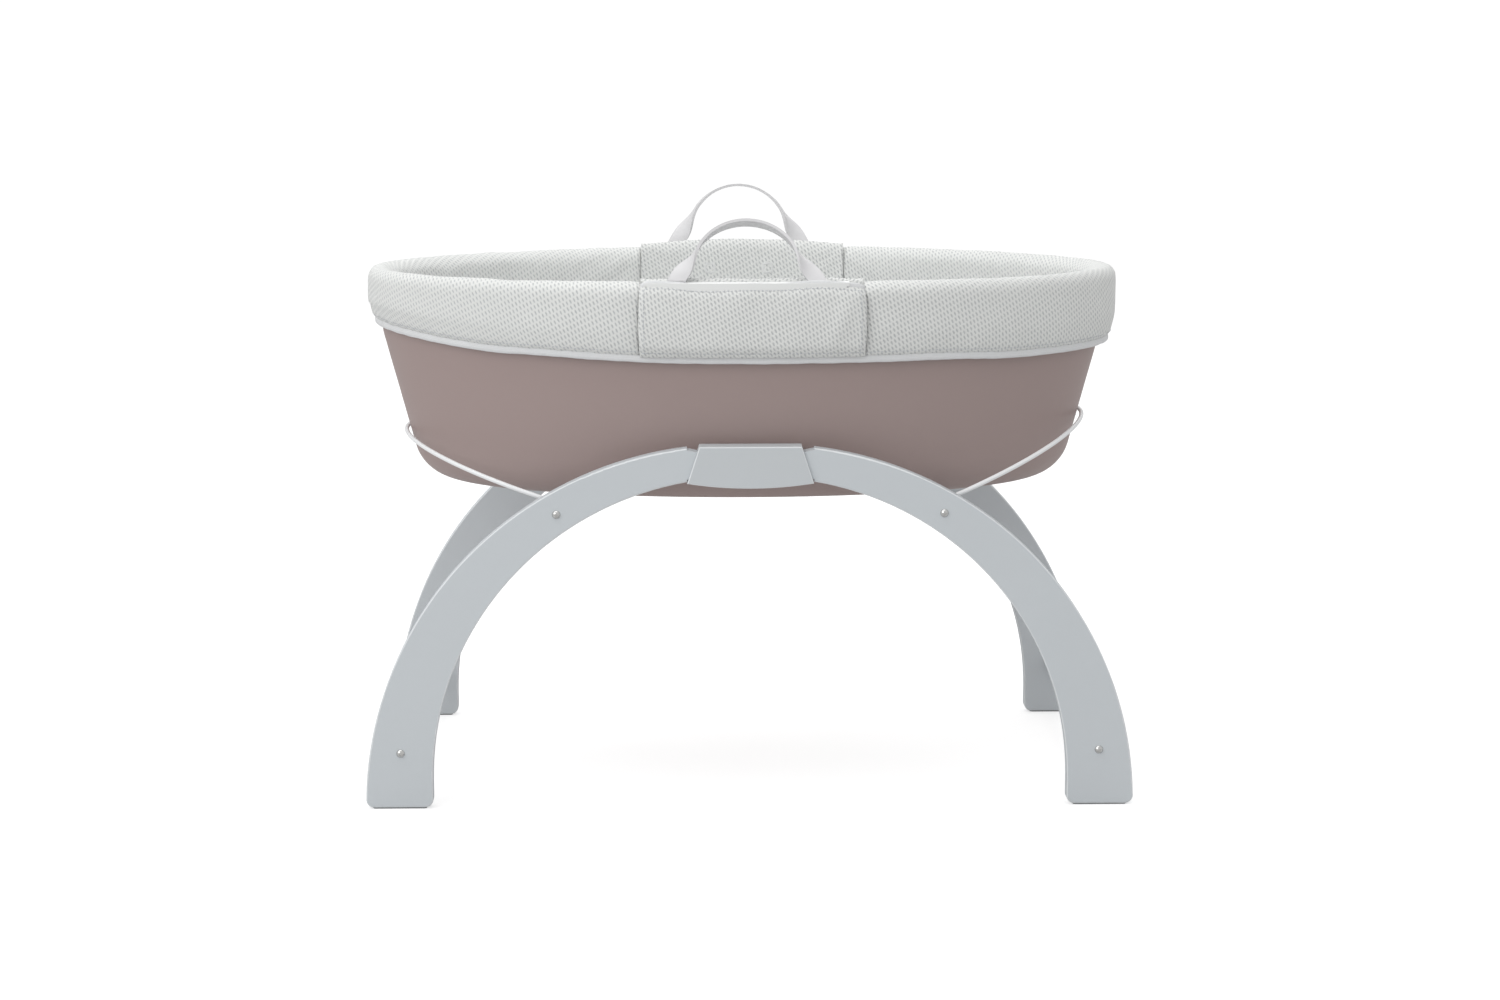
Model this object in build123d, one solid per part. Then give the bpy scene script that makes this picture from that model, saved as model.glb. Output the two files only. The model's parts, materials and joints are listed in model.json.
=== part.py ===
from build123d import *
from math import asin, atan2, cos, radians, sin, sqrt, tan
import os

# Bassinet on an arched stand. Millimetres. The origin is on the floor under the
# middle of the stand, +X runs along the basket, the front is -Y and +Z is up.

# ---- stand: four curved legs make a front and a rear arch ----
LEG_T = 18.0                 # thickness of a leg
STAND_Y = 231.5              # outer face of a leg
OUTER_X, OUTER_R = 20.0, 408.0          # circle of a leg's outer edge, centred on the floor
INNER_X, INNER_Z, INNER_R = 10.8, 30.0, 342.5   # circle of its inner edge
FOOT_R = 9.0                 # rounded corners of a foot
LEG_EDGE_R = 1.8             # softened edges of a leg
GLIDE_T = 1.5                # glides under the feet
GLIDE_INSET = 3.0
LEG_TOP_X = 70.0             # where a leg steps down into its tongue
TONGUE_END_X = 8.0
TONGUE_LOW, TONGUE_HIGH = 370.5, 400.0
TONGUE_FLAT_X = 56.0         # the tongue's top slopes from the leg to here
TONGUE_STEP_Z = 403.0

# ---- clamshell that joins two legs at the top of each arch ----
COVER_TOP_Z, COVER_TOP_HALF = 407.0, 56.3
COVER_LOW_Z, COVER_LOW_HALF = 366.0, 69.7
COVER_BOW_Z = 360.5          # lowest point of the bowed edge
COVER_PROUD = 4.0            # how far a shell stands off the leg's face
COVER_EDGE_R = 1.6
TONGUE_FIT = 0.25            # gap between a tongue and the clamshell
CLAMP_SCREW_X, CLAMP_SCREW_Z, CLAMP_SCREW_R = 32.0, 385.0, 2.0
CLAMP_HEAD_R, CLAMP_HEAD_T = 4.0, 2.5
SCREW_FIT = 0.2              # radial gap round a screw or bolt
THREAD_FIT = 0.03            # radial gap where a screw's thread bites

# ---- crossbars and their bolts ----
LOW_BAR_X, LOW_BAR_Z, LOW_BAR_R = 388.7, 63.5, 9.0
TOP_BAR_X, TOP_BAR_Z, TOP_BAR_R = 213.5, 332.0, 8.0
SPIGOT_R, SPIGOT_LEN = 5.0, 11.5
BOLT_R, BOLT_HEAD_R, BOLT_HEAD_T = 3.0, 4.8, 3.0
BOLT_GRIP = 42.0             # length of a bolt beyond the leg
NUT_R, NUT_INSET = 4.5, 34.0  # cross-drilled nut, from the leg's inner face
NUT_SHORT = 1.0              # how far a nut stays below the bar's skin

# ---- wire hoops that hold the ends of the basket ----
WIRE_R = 2.5
HOOP_GAP = 2.0               # between a hoop and the tub's end wall
EYE_INSET = 5.7              # from a leg's inner face to the middle of an eye
LEFT_LEAN, RIGHT_LEAN = 17.0, 22.0      # degrees above level at rest
BUSH_FIT = 0.05              # running fit on the spigot
BUSH_T = 1.5
EYE_FIT = 0.3                # side gap between an eye and its washers

# ---- basket: an oval moulded tub ----
BASKET_X = -3.8              # the basket sits a little to the left of the stand
TUB_A, TUB_B = 415.6, 212.0  # half length and half width of the upright rim wall
TUB_LEAN = 15.0              # slope of the end walls below the rim wall
TUB_KNEE_Z = 512.0           # where the slope turns upright
TUB_KNEE_R = 60.0
TUB_TOP_Z = 572.0
TUB_BASE_R = 50.0            # rounding between wall and floor
TUB_WALL = 4.0
SOFT_FIT = 0.3               # gap kept round soft pieces
LINING_T = 2.5
BOARD_T, BOARD_INSET = 3.0, 6.0
MATTRESS_T, MATTRESS_INSET = 48.0, 9.0

# ---- padded rim, measured outwards from the tub's rim wall ----
RIM_OUT, RIM_IN = 16.0, -14.6
RIM_FOOT_Z = TUB_KNEE_Z + 9.0           # foot of the rim's inner leg
RIM_TOP_Z = 586.0
RIM_ROUND = 13.0
HEM_Z, HEM_H, HEM_OUT = 492.0, 9.0, 10.0
PANEL_HALF = 122.5           # half width of the middle panels
PANEL_FIT = 0.3
PANEL_TOP_Z = 588.0
FLAP_T, FLAP_LOW_Z, FLAP_HIGH_Z = 2.6, 505.0, 583.0
PATCH, PATCH_T, PATCH_X, PATCH_Z = 14.0, 1.0, 35.0, 560.0
PATCH_GAP = 0.1

# ---- handle housings and handles ----
HOUSING_HALF, HOUSING_LOW_Z = 109.0, 515.0
HOUSING_HIGH_Z = 582.0
PLATE_T, PLATE_HALF, PLATE_IN = 3.5, 112.0, -3.8
SLOT_LEN, SLOT_X, SLOT_W = 56.0, 80.0, 3.8
STRAP_W, STRAP_T = 20.5, 3.0
STRAP_X = 76.7               # middle of a handle's leg
STRAP_Y = 215.0              # from the basket's middle line
POCKET_LEN, POCKET_W = 30.0, 6.8
TAIL_LOW_Z, TAIL_FOOT_H, TAIL_FOOT_T = 556.3, 8.0, 6.0
FOLD_GAP = 0.5               # between a tail and the strap that folds over it
FOLD_Z = HOUSING_HIGH_Z + PLATE_T + STRAP_T / 2 + 0.5
HANDLE_RISE = 73.0
CROWN_R = 60.0               # rounding of a handle's top; its legs lean in below it
TWIST_RISE = 42.0            # height at which the strap has turned
LEAN_RISE = 25.0             # height at which the strap lies square across its own path
TWIST = 78.0                 # how far it has turned there; 90 would be level at the top
FRONT_LEAN, REAR_LEAN = 35.0, 16.5      # both handles lean towards the back
HANDLE_STEPS = 20
HOUSING_SCREW_R, HOUSING_HEAD_R, HOUSING_HEAD_T = 2.0, 4.0, 2.2
HOUSING_SCREW_LEN = 9.0
HEAD_SEAT = 0.3              # a screw's flat head stands off the curved wall

LEG_IN_Y = STAND_Y - LEG_T
MID_Y = STAND_Y - LEG_T / 2
EYE_R = SPIGOT_R + BUSH_FIT + BUSH_T + WIRE_R   # middle of an eye's wire
EYE_Y = LEG_IN_Y - EYE_INSET
BASE_Z = TOP_BAR_Z + TOP_BAR_R                  # the tub rests on the upper bars


def save(name, shape):
    """Write one named piece."""
    export_step(shape, f"parts/{name}.step")


def block(x0, x1, y0, y1, z0, z1):
    """A box given by its lowest and highest corners."""
    return Pos((x0 + x1) / 2, (y0 + y1) / 2, (z0 + z1) / 2) * Box(x1 - x0, y1 - y0, z1 - z0)


def rod(radius, length, x, y, z):
    """A round rod along Y, centred on a point."""
    return Pos(x, y, z) * Rot(90, 0, 0) * Cylinder(radius, length)


def upright(face, y0, y1):
    """A face drawn as (x, z) made solid between two values of Y."""
    return Pos(0, y0, 0) * extrude(Plane.XZ * face, amount=-(y1 - y0))


def group(solids):
    """Several separate solids as one shape."""
    return Compound(children=list(solids))


# ---------------------------------------------------------------- stand
def leg_outline():
    """Right-hand leg seen from the front: the band between two arcs, and its tongue."""
    outer = Pos(OUTER_X, 0) * Circle(OUTER_R)
    inner = Pos(INNER_X, INNER_Z) * Circle(INNER_R)
    below = Pos(INNER_X, 0) * Rectangle(2 * INNER_R, 2 * INNER_Z)
    span, high = 2 * OUTER_R, OUTER_R + INNER_Z
    band = outer - inner - below
    foot_x = INNER_X + INNER_R
    band = band & (Pos(LEG_TOP_X + span / 2, GLIDE_T + high / 2) * Rectangle(span, high))
    corners = [v for v in band.vertices() if v.Y < GLIDE_T + 1 and v.X > foot_x - 5]
    band = fillet(corners, FOOT_R)
    overlap = LEG_TOP_X + 3
    tongue = Polyline((TONGUE_END_X, TONGUE_LOW), (TONGUE_END_X, TONGUE_HIGH),
                      (TONGUE_FLAT_X, TONGUE_HIGH), (LEG_TOP_X, TONGUE_STEP_Z),
                      (overlap, TONGUE_STEP_Z), (overlap, TONGUE_LOW), close=True)
    return band + make_face(tongue)


def leg():
    """A leg in the right front place."""
    body = upright(leg_outline(), -STAND_Y, -LEG_IN_Y)
    edges = [e for face in (body.faces().sort_by(Axis.Y)[0], body.faces().sort_by(Axis.Y)[-1])
             for e in face.edges() if e.bounding_box().max.X > LEG_TOP_X + 3.5]
    body = fillet(edges, LEG_EDGE_R)
    for x, z in ((LOW_BAR_X, LOW_BAR_Z), (TOP_BAR_X, TOP_BAR_Z)):
        body -= rod(BOLT_R + SCREW_FIT, 3 * LEG_T, x, -MID_Y, z)
    return body - rod(CLAMP_SCREW_R + SCREW_FIT, 3 * LEG_T, CLAMP_SCREW_X, -MID_Y, CLAMP_SCREW_Z)


def glide():
    """A thin rubber glide under the right front foot."""
    x0, x1 = INNER_X + INNER_R + GLIDE_INSET, OUTER_X + OUTER_R - GLIDE_INSET
    pad = block(x0 + FOOT_R / 2, x1 - FOOT_R / 2, -STAND_Y + GLIDE_INSET, -LEG_IN_Y - GLIDE_INSET,
                0, GLIDE_T)
    return fillet(pad.edges().filter_by(Axis.Z), GLIDE_INSET)


def four(shape):
    """Right front, left front, right rear and left rear copies."""
    left = mirror(shape, Plane.YZ)
    return shape, left, mirror(shape, Plane.XZ), mirror(left, Plane.XZ)


def cover_face():
    """The clamshell's outline: a trapezoid with a bowed lower edge."""
    top = Polyline((-COVER_LOW_HALF, COVER_LOW_Z), (-COVER_TOP_HALF, COVER_TOP_Z),
                   (COVER_TOP_HALF, COVER_TOP_Z), (COVER_LOW_HALF, COVER_LOW_Z))
    bow = ThreePointArc((COVER_LOW_HALF, COVER_LOW_Z), (0, COVER_BOW_Z),
                        (-COVER_LOW_HALF, COVER_LOW_Z))
    return make_face(Curve() + [top, bow])


def tongue_space():
    """The slot through a clamshell that its two tongues fill."""
    return block(-2 * LEG_TOP_X, 2 * LEG_TOP_X, -STAND_Y - TONGUE_FIT, -LEG_IN_Y + TONGUE_FIT,
                 TONGUE_LOW - TONGUE_FIT, TONGUE_HIGH + TONGUE_FIT + 0.6)


def soften(shell, y):
    """Round the outline of a clamshell's face at y."""
    rim = [e for e in shell.edges() if abs(e.center().Y - y) < 0.01]
    return fillet(rim, COVER_EDGE_R)


def cover():
    """Front shell of the front clamshell."""
    shell = soften(upright(cover_face(), -STAND_Y - COVER_PROUD, -MID_Y), -STAND_Y - COVER_PROUD)
    shell -= tongue_space()
    for x in (-CLAMP_SCREW_X, CLAMP_SCREW_X):
        shell -= rod(CLAMP_SCREW_R + THREAD_FIT, 2 * (COVER_PROUD - 1), x, -STAND_Y, CLAMP_SCREW_Z)
    return shell


def clamp():
    """Inner shell of the front clamshell, with the screws' countersinks."""
    y = -LEG_IN_Y + COVER_PROUD
    shell = soften(upright(cover_face(), -MID_Y, y), y) - tongue_space()
    for x in (-CLAMP_SCREW_X, CLAMP_SCREW_X):
        shell -= rod(CLAMP_SCREW_R + SCREW_FIT, 2 * LEG_T, x, y, CLAMP_SCREW_Z)
        shell -= rod(CLAMP_HEAD_R + SCREW_FIT, 2 * CLAMP_HEAD_T, x, y, CLAMP_SCREW_Z)
    return shell


def clamp_screws():
    """Two screws from the inside of the front clamshell into its cover."""
    tip, seat = -STAND_Y - COVER_PROUD + 1.5, -LEG_IN_Y + COVER_PROUD - CLAMP_HEAD_T
    screws = []
    for x in (-CLAMP_SCREW_X, CLAMP_SCREW_X):
        shank = rod(CLAMP_SCREW_R, seat - tip, x, (seat + tip) / 2, CLAMP_SCREW_Z)
        head = rod(CLAMP_HEAD_R, CLAMP_HEAD_T - 0.2, x, seat + (CLAMP_HEAD_T - 0.2) / 2,
                   CLAMP_SCREW_Z)
        screws.append(shank + head)
    return group(screws)


def crossbar(x, z, radius, spigots):
    """A bar between the arches, drilled for bolts and nuts; spigots carry the hoops."""
    half = LEG_IN_Y
    if spigots:
        bar = rod(radius, 2 * (half - SPIGOT_LEN), x, 0, z) + rod(SPIGOT_R, 2 * half, x, 0, z)
    else:
        bar = rod(radius, 2 * half, x, 0, z)
    for side in (-1, 1):
        bar -= rod(BOLT_R + SCREW_FIT, 2 * (BOLT_GRIP + 1), x, side * half, z)
        nut_y = side * (half - NUT_INSET)
        bar -= Pos(x, nut_y, z) * Cylinder(NUT_R + SCREW_FIT, 4 * radius)
    return bar


def bolt(x, z):
    """A domed bolt through the front leg into a crossbar."""
    dome_r = (BOLT_HEAD_R**2 + BOLT_HEAD_T**2) / (2 * BOLT_HEAD_T)
    dome = Pos(x, -STAND_Y - BOLT_HEAD_T + dome_r, z) * Sphere(dome_r)
    dome &= rod(2 * BOLT_HEAD_R, BOLT_HEAD_T, x, -STAND_Y - BOLT_HEAD_T / 2, z)
    socket = rod(1.6, 1.6, x, -STAND_Y - BOLT_HEAD_T + 0.8, z)
    length = LEG_T + BOLT_GRIP
    return dome - socket + rod(BOLT_R, length, x, -STAND_Y + length / 2, z)


def barrel_nut(x, z, radius):
    """A cross nut for one bolt of a front joint, bored for the bolt."""
    y = -LEG_IN_Y + NUT_INSET
    nut = Pos(x, y, z) * Cylinder(NUT_R, 2 * (radius - NUT_SHORT))
    return nut - rod(BOLT_R + THREAD_FIT, 4 * NUT_R, x, y, z)


def spacer(y0, y1):
    """A nylon washer on the right front spigot."""
    middle, width = (y0 + y1) / 2, y1 - y0
    ring = rod(TOP_BAR_R, width, TOP_BAR_X, middle, TOP_BAR_Z)
    return ring - rod(SPIGOT_R + BUSH_FIT, 2 * width, TOP_BAR_X, middle, TOP_BAR_Z)


def make_stand():
    legs = four(leg())
    for name, shape in zip(("front_right_leg", "front_left_leg", "rear_right_leg",
                            "rear_left_leg"), legs):
        save(name, shape)
    save("foot_glides", group(four(glide())))
    for name, shape in (("cover", cover()), ("clamp_plate", clamp()),
                        ("clamp_screws", clamp_screws())):
        save("front_" + name, shape)
        save("rear_" + name, mirror(shape, Plane.XZ))
    for side, sign in (("left", -1), ("right", 1)):
        save(f"upper_{side}_crossbar", crossbar(sign * TOP_BAR_X, TOP_BAR_Z, TOP_BAR_R, True))
        save(f"lower_{side}_crossbar", crossbar(sign * LOW_BAR_X, LOW_BAR_Z, LOW_BAR_R, False))
    low, top = bolt(LOW_BAR_X, LOW_BAR_Z), bolt(TOP_BAR_X, TOP_BAR_Z)
    save("lower_bolts", group(four(low)))
    save("upper_bolts", group(four(top)))
    save("lower_barrel_nuts", group(four(barrel_nut(LOW_BAR_X, LOW_BAR_Z, LOW_BAR_R))))
    save("upper_barrel_nuts", group(four(barrel_nut(TOP_BAR_X, TOP_BAR_Z, TOP_BAR_R))))
    outer = spacer(-LEG_IN_Y, -EYE_Y - WIRE_R - EYE_FIT)
    inner = spacer(-EYE_Y + WIRE_R + EYE_FIT, -LEG_IN_Y + SPIGOT_LEN)
    save("hoop_spacers", group(four(outer) + four(inner)))


# ---------------------------------------------------------------- hoops
def hoop_reach(lean, shift):
    """Length of a hoop that leans against an end wall, which is moved out by shift."""
    slope = tan(radians(TUB_LEAN))
    low = (TUB_KNEE_Z - TOP_BAR_Z - EYE_R * cos(radians(lean))) * slope
    across = TUB_A + shift - low + EYE_R * sin(radians(lean)) - TOP_BAR_X
    across += (WIRE_R + HOOP_GAP) / cos(radians(TUB_LEAN))
    return across / (cos(radians(lean)) - sin(radians(lean)) * slope)


def hoop(reach):
    """Right hoop lying level: an arc of wire welded to the top of an eye at each end."""
    path = Pos(0, 0, EYE_R) * ThreePointArc((0, -EYE_Y), (reach, 0), (0, EYE_Y))
    start = Plane(origin=(0, -EYE_Y, EYE_R), z_dir=(path % 0))
    wire = sweep(start * Circle(WIRE_R), path)
    eye = Cylinder(EYE_R + WIRE_R, 2 * WIRE_R) - Cylinder(EYE_R - WIRE_R, 4 * WIRE_R)
    for y in (-EYE_Y, EYE_Y):
        wire += Pos(0, y, 0) * Rot(90, 0, 0) * eye
    return wire


def hoop_bushes():
    """The nylon bushes inside a hoop's eyes."""
    bush = Cylinder(SPIGOT_R + BUSH_FIT + BUSH_T, 2 * WIRE_R)
    bush -= Cylinder(SPIGOT_R + BUSH_FIT, 4 * WIRE_R)
    return group(Pos(0, y, 0) * Rot(90, 0, 0) * bush for y in (-EYE_Y, EYE_Y))


def make_hoops():
    for side, lean, shift in (("right", RIGHT_LEAN, BASKET_X), ("left", LEFT_LEAN, -BASKET_X)):
        place = Pos(TOP_BAR_X, 0, TOP_BAR_Z) * Rot(0, -lean, 0)
        shapes = (("hoop", hoop(hoop_reach(lean, shift))), ("hoop_bushes", hoop_bushes()))
        for name, shape in shapes:
            placed = place * shape
            save(f"{side}_{name}", placed if side == "right" else mirror(placed, Plane.YZ))


# ---------------------------------------------------------------- basket
def wall_foot(inset):
    """Where the sloping end wall, moved inwards by inset, would meet the floor."""
    shift = inset / cos(radians(TUB_LEAN))
    return TUB_A - shift - (TUB_KNEE_Z - BASE_Z - inset) * tan(radians(TUB_LEAN))


def tub_solid(inset, top_z):
    """The tub's outer form, shrunk inwards by inset, filled up to top_z."""
    slope = tan(radians(TUB_LEAN))
    rim = TUB_A - inset
    floor_z = BASE_Z + inset
    low_x = wall_foot(inset)
    knee_z = floor_z + (rim - low_x) / slope
    line = FilletPolyline((0, floor_z), (low_x, floor_z), (rim, knee_z), (rim, top_z),
                          radius=[TUB_BASE_R - inset, TUB_KNEE_R])
    close = Polyline((rim, top_z), (0, top_z), (0, floor_z))
    profile = Plane.XZ * make_face(Curve() + [line, close])
    return scale(revolve(profile, Axis.Z), by=(1, (TUB_B - inset) / rim, 1))


def tub():
    """The moulded tub."""
    body = tub_solid(0, TUB_TOP_Z) - tub_solid(TUB_WALL, TUB_TOP_Z + 1)
    for x in (-PATCH_X, PATCH_X):
        for side in (-1, 1):
            body -= rod(HOUSING_SCREW_R + SCREW_FIT, 40, x, side * TUB_B, PATCH_Z)
    return body


def lining():
    """The thin cloth lining inside the tub, up to where the padded rim starts."""
    gap = TUB_WALL + SOFT_FIT
    skin = tub_solid(gap, TUB_TOP_Z) - tub_solid(gap + LINING_T, TUB_TOP_Z + 1)
    return skin & block(-TUB_A, TUB_A, -TUB_B, TUB_B, BASE_Z, RIM_FOOT_Z - SOFT_FIT)


def floor_plate(inset, z0, z1):
    """A flat oval plate, inset from the lining where the lining curves in at the height z0."""
    gap = TUB_WALL + SOFT_FIT + LINING_T
    radius = TUB_BASE_R - gap
    middle_x = wall_foot(gap) - radius / tan(radians((90 + TUB_LEAN) / 2))
    drop = BASE_Z + gap + radius - z0
    half = middle_x + sqrt(radius**2 - drop**2)
    ratio = (TUB_B - gap) / (TUB_A - gap)
    return Pos(0, 0, z0) * extrude(Ellipse(half - inset, half * ratio - inset), z1 - z0)


def oval(out, z0, z1):
    """An upright oval disc that stands out from the rim wall by out."""
    return Pos(0, 0, z0) * extrude(Ellipse(TUB_A + out, TUB_B + out), z1 - z0)


def band(inner, outer, z0, z1):
    """An upright oval band between two distances from the rim wall."""
    return oval(outer, z0, z1) - oval(inner, z0 - 1, z1 + 1)


def front_part(shape, half, z0, z1):
    """The part of a shape across the middle of the front."""
    return shape & block(-half, half, -TUB_B - 60, 0, z0, z1)


def padded_rim():
    """The whole padded rim round the tub's wall, with a rounded top."""
    ring = band(RIM_IN, RIM_OUT, RIM_FOOT_Z, RIM_TOP_Z)
    top = [e for e in ring.edges() if abs(e.center().Z - RIM_TOP_Z) < 0.01]
    ring = fillet(top, RIM_ROUND)
    ring -= band(-TUB_WALL - SOFT_FIT, SOFT_FIT, TUB_KNEE_Z - 5, TUB_TOP_Z + SOFT_FIT)
    return ring + band(SOFT_FIT, RIM_OUT, HEM_Z + HEM_H, RIM_FOOT_Z)


def rim_roll():
    """The right-hand run of the padded rim, clear of the middle panels."""
    edge = PANEL_HALF + PANEL_FIT
    return padded_rim() & block(edge, TUB_A + 60, -TUB_B - 60, TUB_B + 60, HEM_Z, RIM_TOP_Z + 5)


def rim_panel():
    """Inner panel of the front rim, between the two rolls."""
    panel = band(RIM_IN, -TUB_WALL - SOFT_FIT, RIM_FOOT_Z, PANEL_TOP_Z)
    panel = front_part(panel, PANEL_HALF, 0, PANEL_TOP_Z)
    for x in (-PATCH_X, PATCH_X):
        panel -= rod(HOUSING_HEAD_R + 0.5, 4 * HOUSING_HEAD_T, x, -TUB_B + TUB_WALL, PATCH_Z)
    return panel


def flap():
    """Outer cloth flap over the front housing."""
    inner = RIM_OUT + SOFT_FIT
    return front_part(band(inner, inner + FLAP_T, FLAP_LOW_Z, FLAP_HIGH_Z), PANEL_HALF, 0,
                      FLAP_HIGH_Z)


def panel_backing():
    """Padding between tub and flap, below and beside the front housing."""
    gap = PANEL_FIT
    pad = front_part(band(SOFT_FIT, RIM_OUT, HEM_Z + HEM_H, HOUSING_HIGH_Z), PANEL_HALF, 0,
                     HOUSING_HIGH_Z)
    return pad - block(-HOUSING_HALF - gap, HOUSING_HALF + gap, -TUB_B - 60, 0,
                       HOUSING_LOW_Z - gap, HOUSING_HIGH_Z + 1)


def patches():
    """Two small square patches over the housing screws."""
    inner = RIM_IN - PATCH_GAP
    sheet = band(inner - PATCH_T, inner, PATCH_Z - PATCH / 2, PATCH_Z + PATCH / 2)
    return group(sheet & block(x - PATCH / 2, x + PATCH / 2, -TUB_B, 0, 0, RIM_TOP_Z)
                 for x in (-PATCH_X, PATCH_X))


def hem():
    """The elastic binding under the padded rim."""
    return band(SOFT_FIT, HEM_OUT, HEM_Z, HEM_Z + HEM_H)


def housing():
    """Moulded front housing that anchors a handle's two tails."""
    body = front_part(band(SOFT_FIT, RIM_OUT, HOUSING_LOW_Z, HOUSING_HIGH_Z), HOUSING_HALF, 0,
                      HOUSING_HIGH_Z)
    for x in (-STRAP_X, STRAP_X):
        body -= block(x - POCKET_LEN / 2, x + POCKET_LEN / 2, -STRAP_Y - POCKET_W / 2,
                      -STRAP_Y + POCKET_W / 2, TAIL_LOW_Z - SOFT_FIT, HOUSING_HIGH_Z + 1)
    for x in (-PATCH_X, PATCH_X):
        body -= rod(HOUSING_SCREW_R + THREAD_FIT, 2 * HOUSING_SCREW_LEN, x, -TUB_B, PATCH_Z)
    return body


def housing_screws():
    """Two screws from inside the tub into the front housing."""
    screws = []
    for x in (-PATCH_X, PATCH_X):
        wall_y = -(TUB_B - TUB_WALL) * sqrt(1 - (x / (TUB_A - TUB_WALL)) ** 2)
        tip = -TUB_B - HOUSING_SCREW_LEN + 1
        shank = rod(HOUSING_SCREW_R, wall_y - tip, x, (wall_y + tip) / 2, PATCH_Z)
        neck = rod(HOUSING_SCREW_R, 4 * HEAD_SEAT, x, wall_y, PATCH_Z)
        head_y = wall_y + HEAD_SEAT + HOUSING_HEAD_T / 2
        screws.append(shank + neck + rod(HOUSING_HEAD_R, HOUSING_HEAD_T, x, head_y, PATCH_Z))
    return group(screws)


def slot_plate():
    """White plate on the front rim, with a long slot for each tail."""
    plate = front_part(band(PLATE_IN, RIM_OUT, HOUSING_HIGH_Z, HOUSING_HIGH_Z + PLATE_T),
                       PLATE_HALF, 0, HOUSING_HIGH_Z + PLATE_T)
    for x in (-SLOT_X, SLOT_X):
        slot = block(x - SLOT_LEN / 2, x + SLOT_LEN / 2, -STRAP_Y - SLOT_W / 2,
                     -STRAP_Y + SLOT_W / 2, 0, RIM_TOP_Z + 5)
        plate -= fillet(slot.edges().filter_by(Axis.Z), SLOT_W / 2 - 0.05)
    return plate


def tails():
    """The two ends of the front strap, held in the housing by their feet."""
    top = FOLD_Z - STRAP_T / 2 - FOLD_GAP
    shapes = []
    for x in (-STRAP_X, STRAP_X):
        strap = block(x - STRAP_W / 2, x + STRAP_W / 2, -STRAP_Y - STRAP_T / 2,
                      -STRAP_Y + STRAP_T / 2, TAIL_LOW_Z, top)
        foot = block(x - STRAP_W / 2, x + STRAP_W / 2, -STRAP_Y - TAIL_FOOT_T / 2,
                     -STRAP_Y + TAIL_FOOT_T / 2, TAIL_LOW_Z, TAIL_LOW_Z + TAIL_FOOT_H)
        shapes.append(strap + foot)
    return group(shapes)


def handle_point(t):
    """A point of the handle's middle line, t from 0 at the left leg to 1 at the right one."""
    drop = HANDLE_RISE - CROWN_R
    reach = sqrt(STRAP_X**2 + drop**2)
    leg = sqrt(reach**2 - CROWN_R**2)
    climb = atan2(drop, STRAP_X) + asin(CROWN_R / reach)
    along = min(t, 1 - t) * 2 * (leg + CROWN_R * climb)
    if along < leg:
        x, z = STRAP_X - along * cos(climb), along * sin(climb)
    else:
        angle = climb - (along - leg) / CROWN_R
        x, z = CROWN_R * sin(angle), drop + CROWN_R * cos(angle)
    return Vector(-x if t < 0.5 else x, 0, z)


def handle_section(t):
    """The strap's cross-section at t up to the middle: flat to the front at a leg, then turned."""
    step = 0.004
    before, after = handle_point(max(t - step, 0)), handle_point(min(t + step, 1))
    rise = handle_point(t).Z
    upright = 1 - min(rise / LEAN_RISE, 1)
    along = ((after - before).normalized() * (1 - upright) + Vector(0, 0, upright)).normalized()
    part = min(rise / TWIST_RISE, 1)
    turn = TWIST * part * part * (3 - 2 * part)
    flat = Vector(0, 1, 0).cross(along)
    width = flat * cos(radians(turn)) + Vector(0, -1, 0) * sin(radians(turn))
    return Plane(origin=handle_point(t), x_dir=width, z_dir=along) * Rectangle(STRAP_W, STRAP_T)


def handle():
    """An arched strap with a rounded fold at each leg, upright, its fold line at the origin."""
    times = [i / HANDLE_STEPS for i in range(HANDLE_STEPS // 2 + 1)]
    left = loft([handle_section(t) for t in times])
    left += Pos(-STRAP_X, 0, 0) * Rot(0, 90, 0) * Cylinder(STRAP_T / 2, STRAP_W)
    return left + mirror(left, about=Plane.YZ)


def make_basket():
    place = Pos(BASKET_X, 0, 0)
    roll = rim_roll()
    floor_z = BASE_Z + TUB_WALL + SOFT_FIT + LINING_T + SOFT_FIT
    mattress_z = floor_z + BOARD_T + SOFT_FIT
    mattress = floor_plate(MATTRESS_INSET, mattress_z, mattress_z + MATTRESS_T)
    rims = [e for e in mattress.edges() if e.geom_type != GeomType.LINE]
    save("tub", place * tub())
    save("inner_lining", place * lining())
    save("base_board", place * floor_plate(BOARD_INSET, floor_z, floor_z + BOARD_T))
    save("mattress", place * fillet(rims, 9))
    save("right_rim_roll", place * roll)
    save("left_rim_roll", place * mirror(roll, Plane.YZ))
    save("hem_binding", place * hem())
    for name, shape in (("rim_panel", rim_panel()), ("flap", flap()),
                        ("panel_backing", panel_backing()), ("lining_patches", patches()),
                        ("handle_housing", housing()), ("housing_screws", housing_screws()),
                        ("slot_plate", slot_plate()), ("handle_tails", tails())):
        save("front_" + name, place * shape)
        save("rear_" + name, place * mirror(shape, Plane.XZ))
    for side, sign, lean in (("front", -1, FRONT_LEAN), ("rear", 1, REAR_LEAN)):
        save(f"{side}_handle", place * Pos(0, sign * STRAP_Y, FOLD_Z) * Rot(-lean, 0, 0) * handle())


os.makedirs("parts", exist_ok=True)
make_stand()
make_hoops()
make_basket()
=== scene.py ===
"""Bassinet on an arched stand: the padded mesh rim, its flaps, the lining and the mattress
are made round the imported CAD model, and every part gets its finish. Metres throughout."""
import json
import math

import bmesh
import bpy
import numpy as np
from bpy.props import FloatProperty, FloatVectorProperty, PointerProperty
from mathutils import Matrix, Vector, noise


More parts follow.
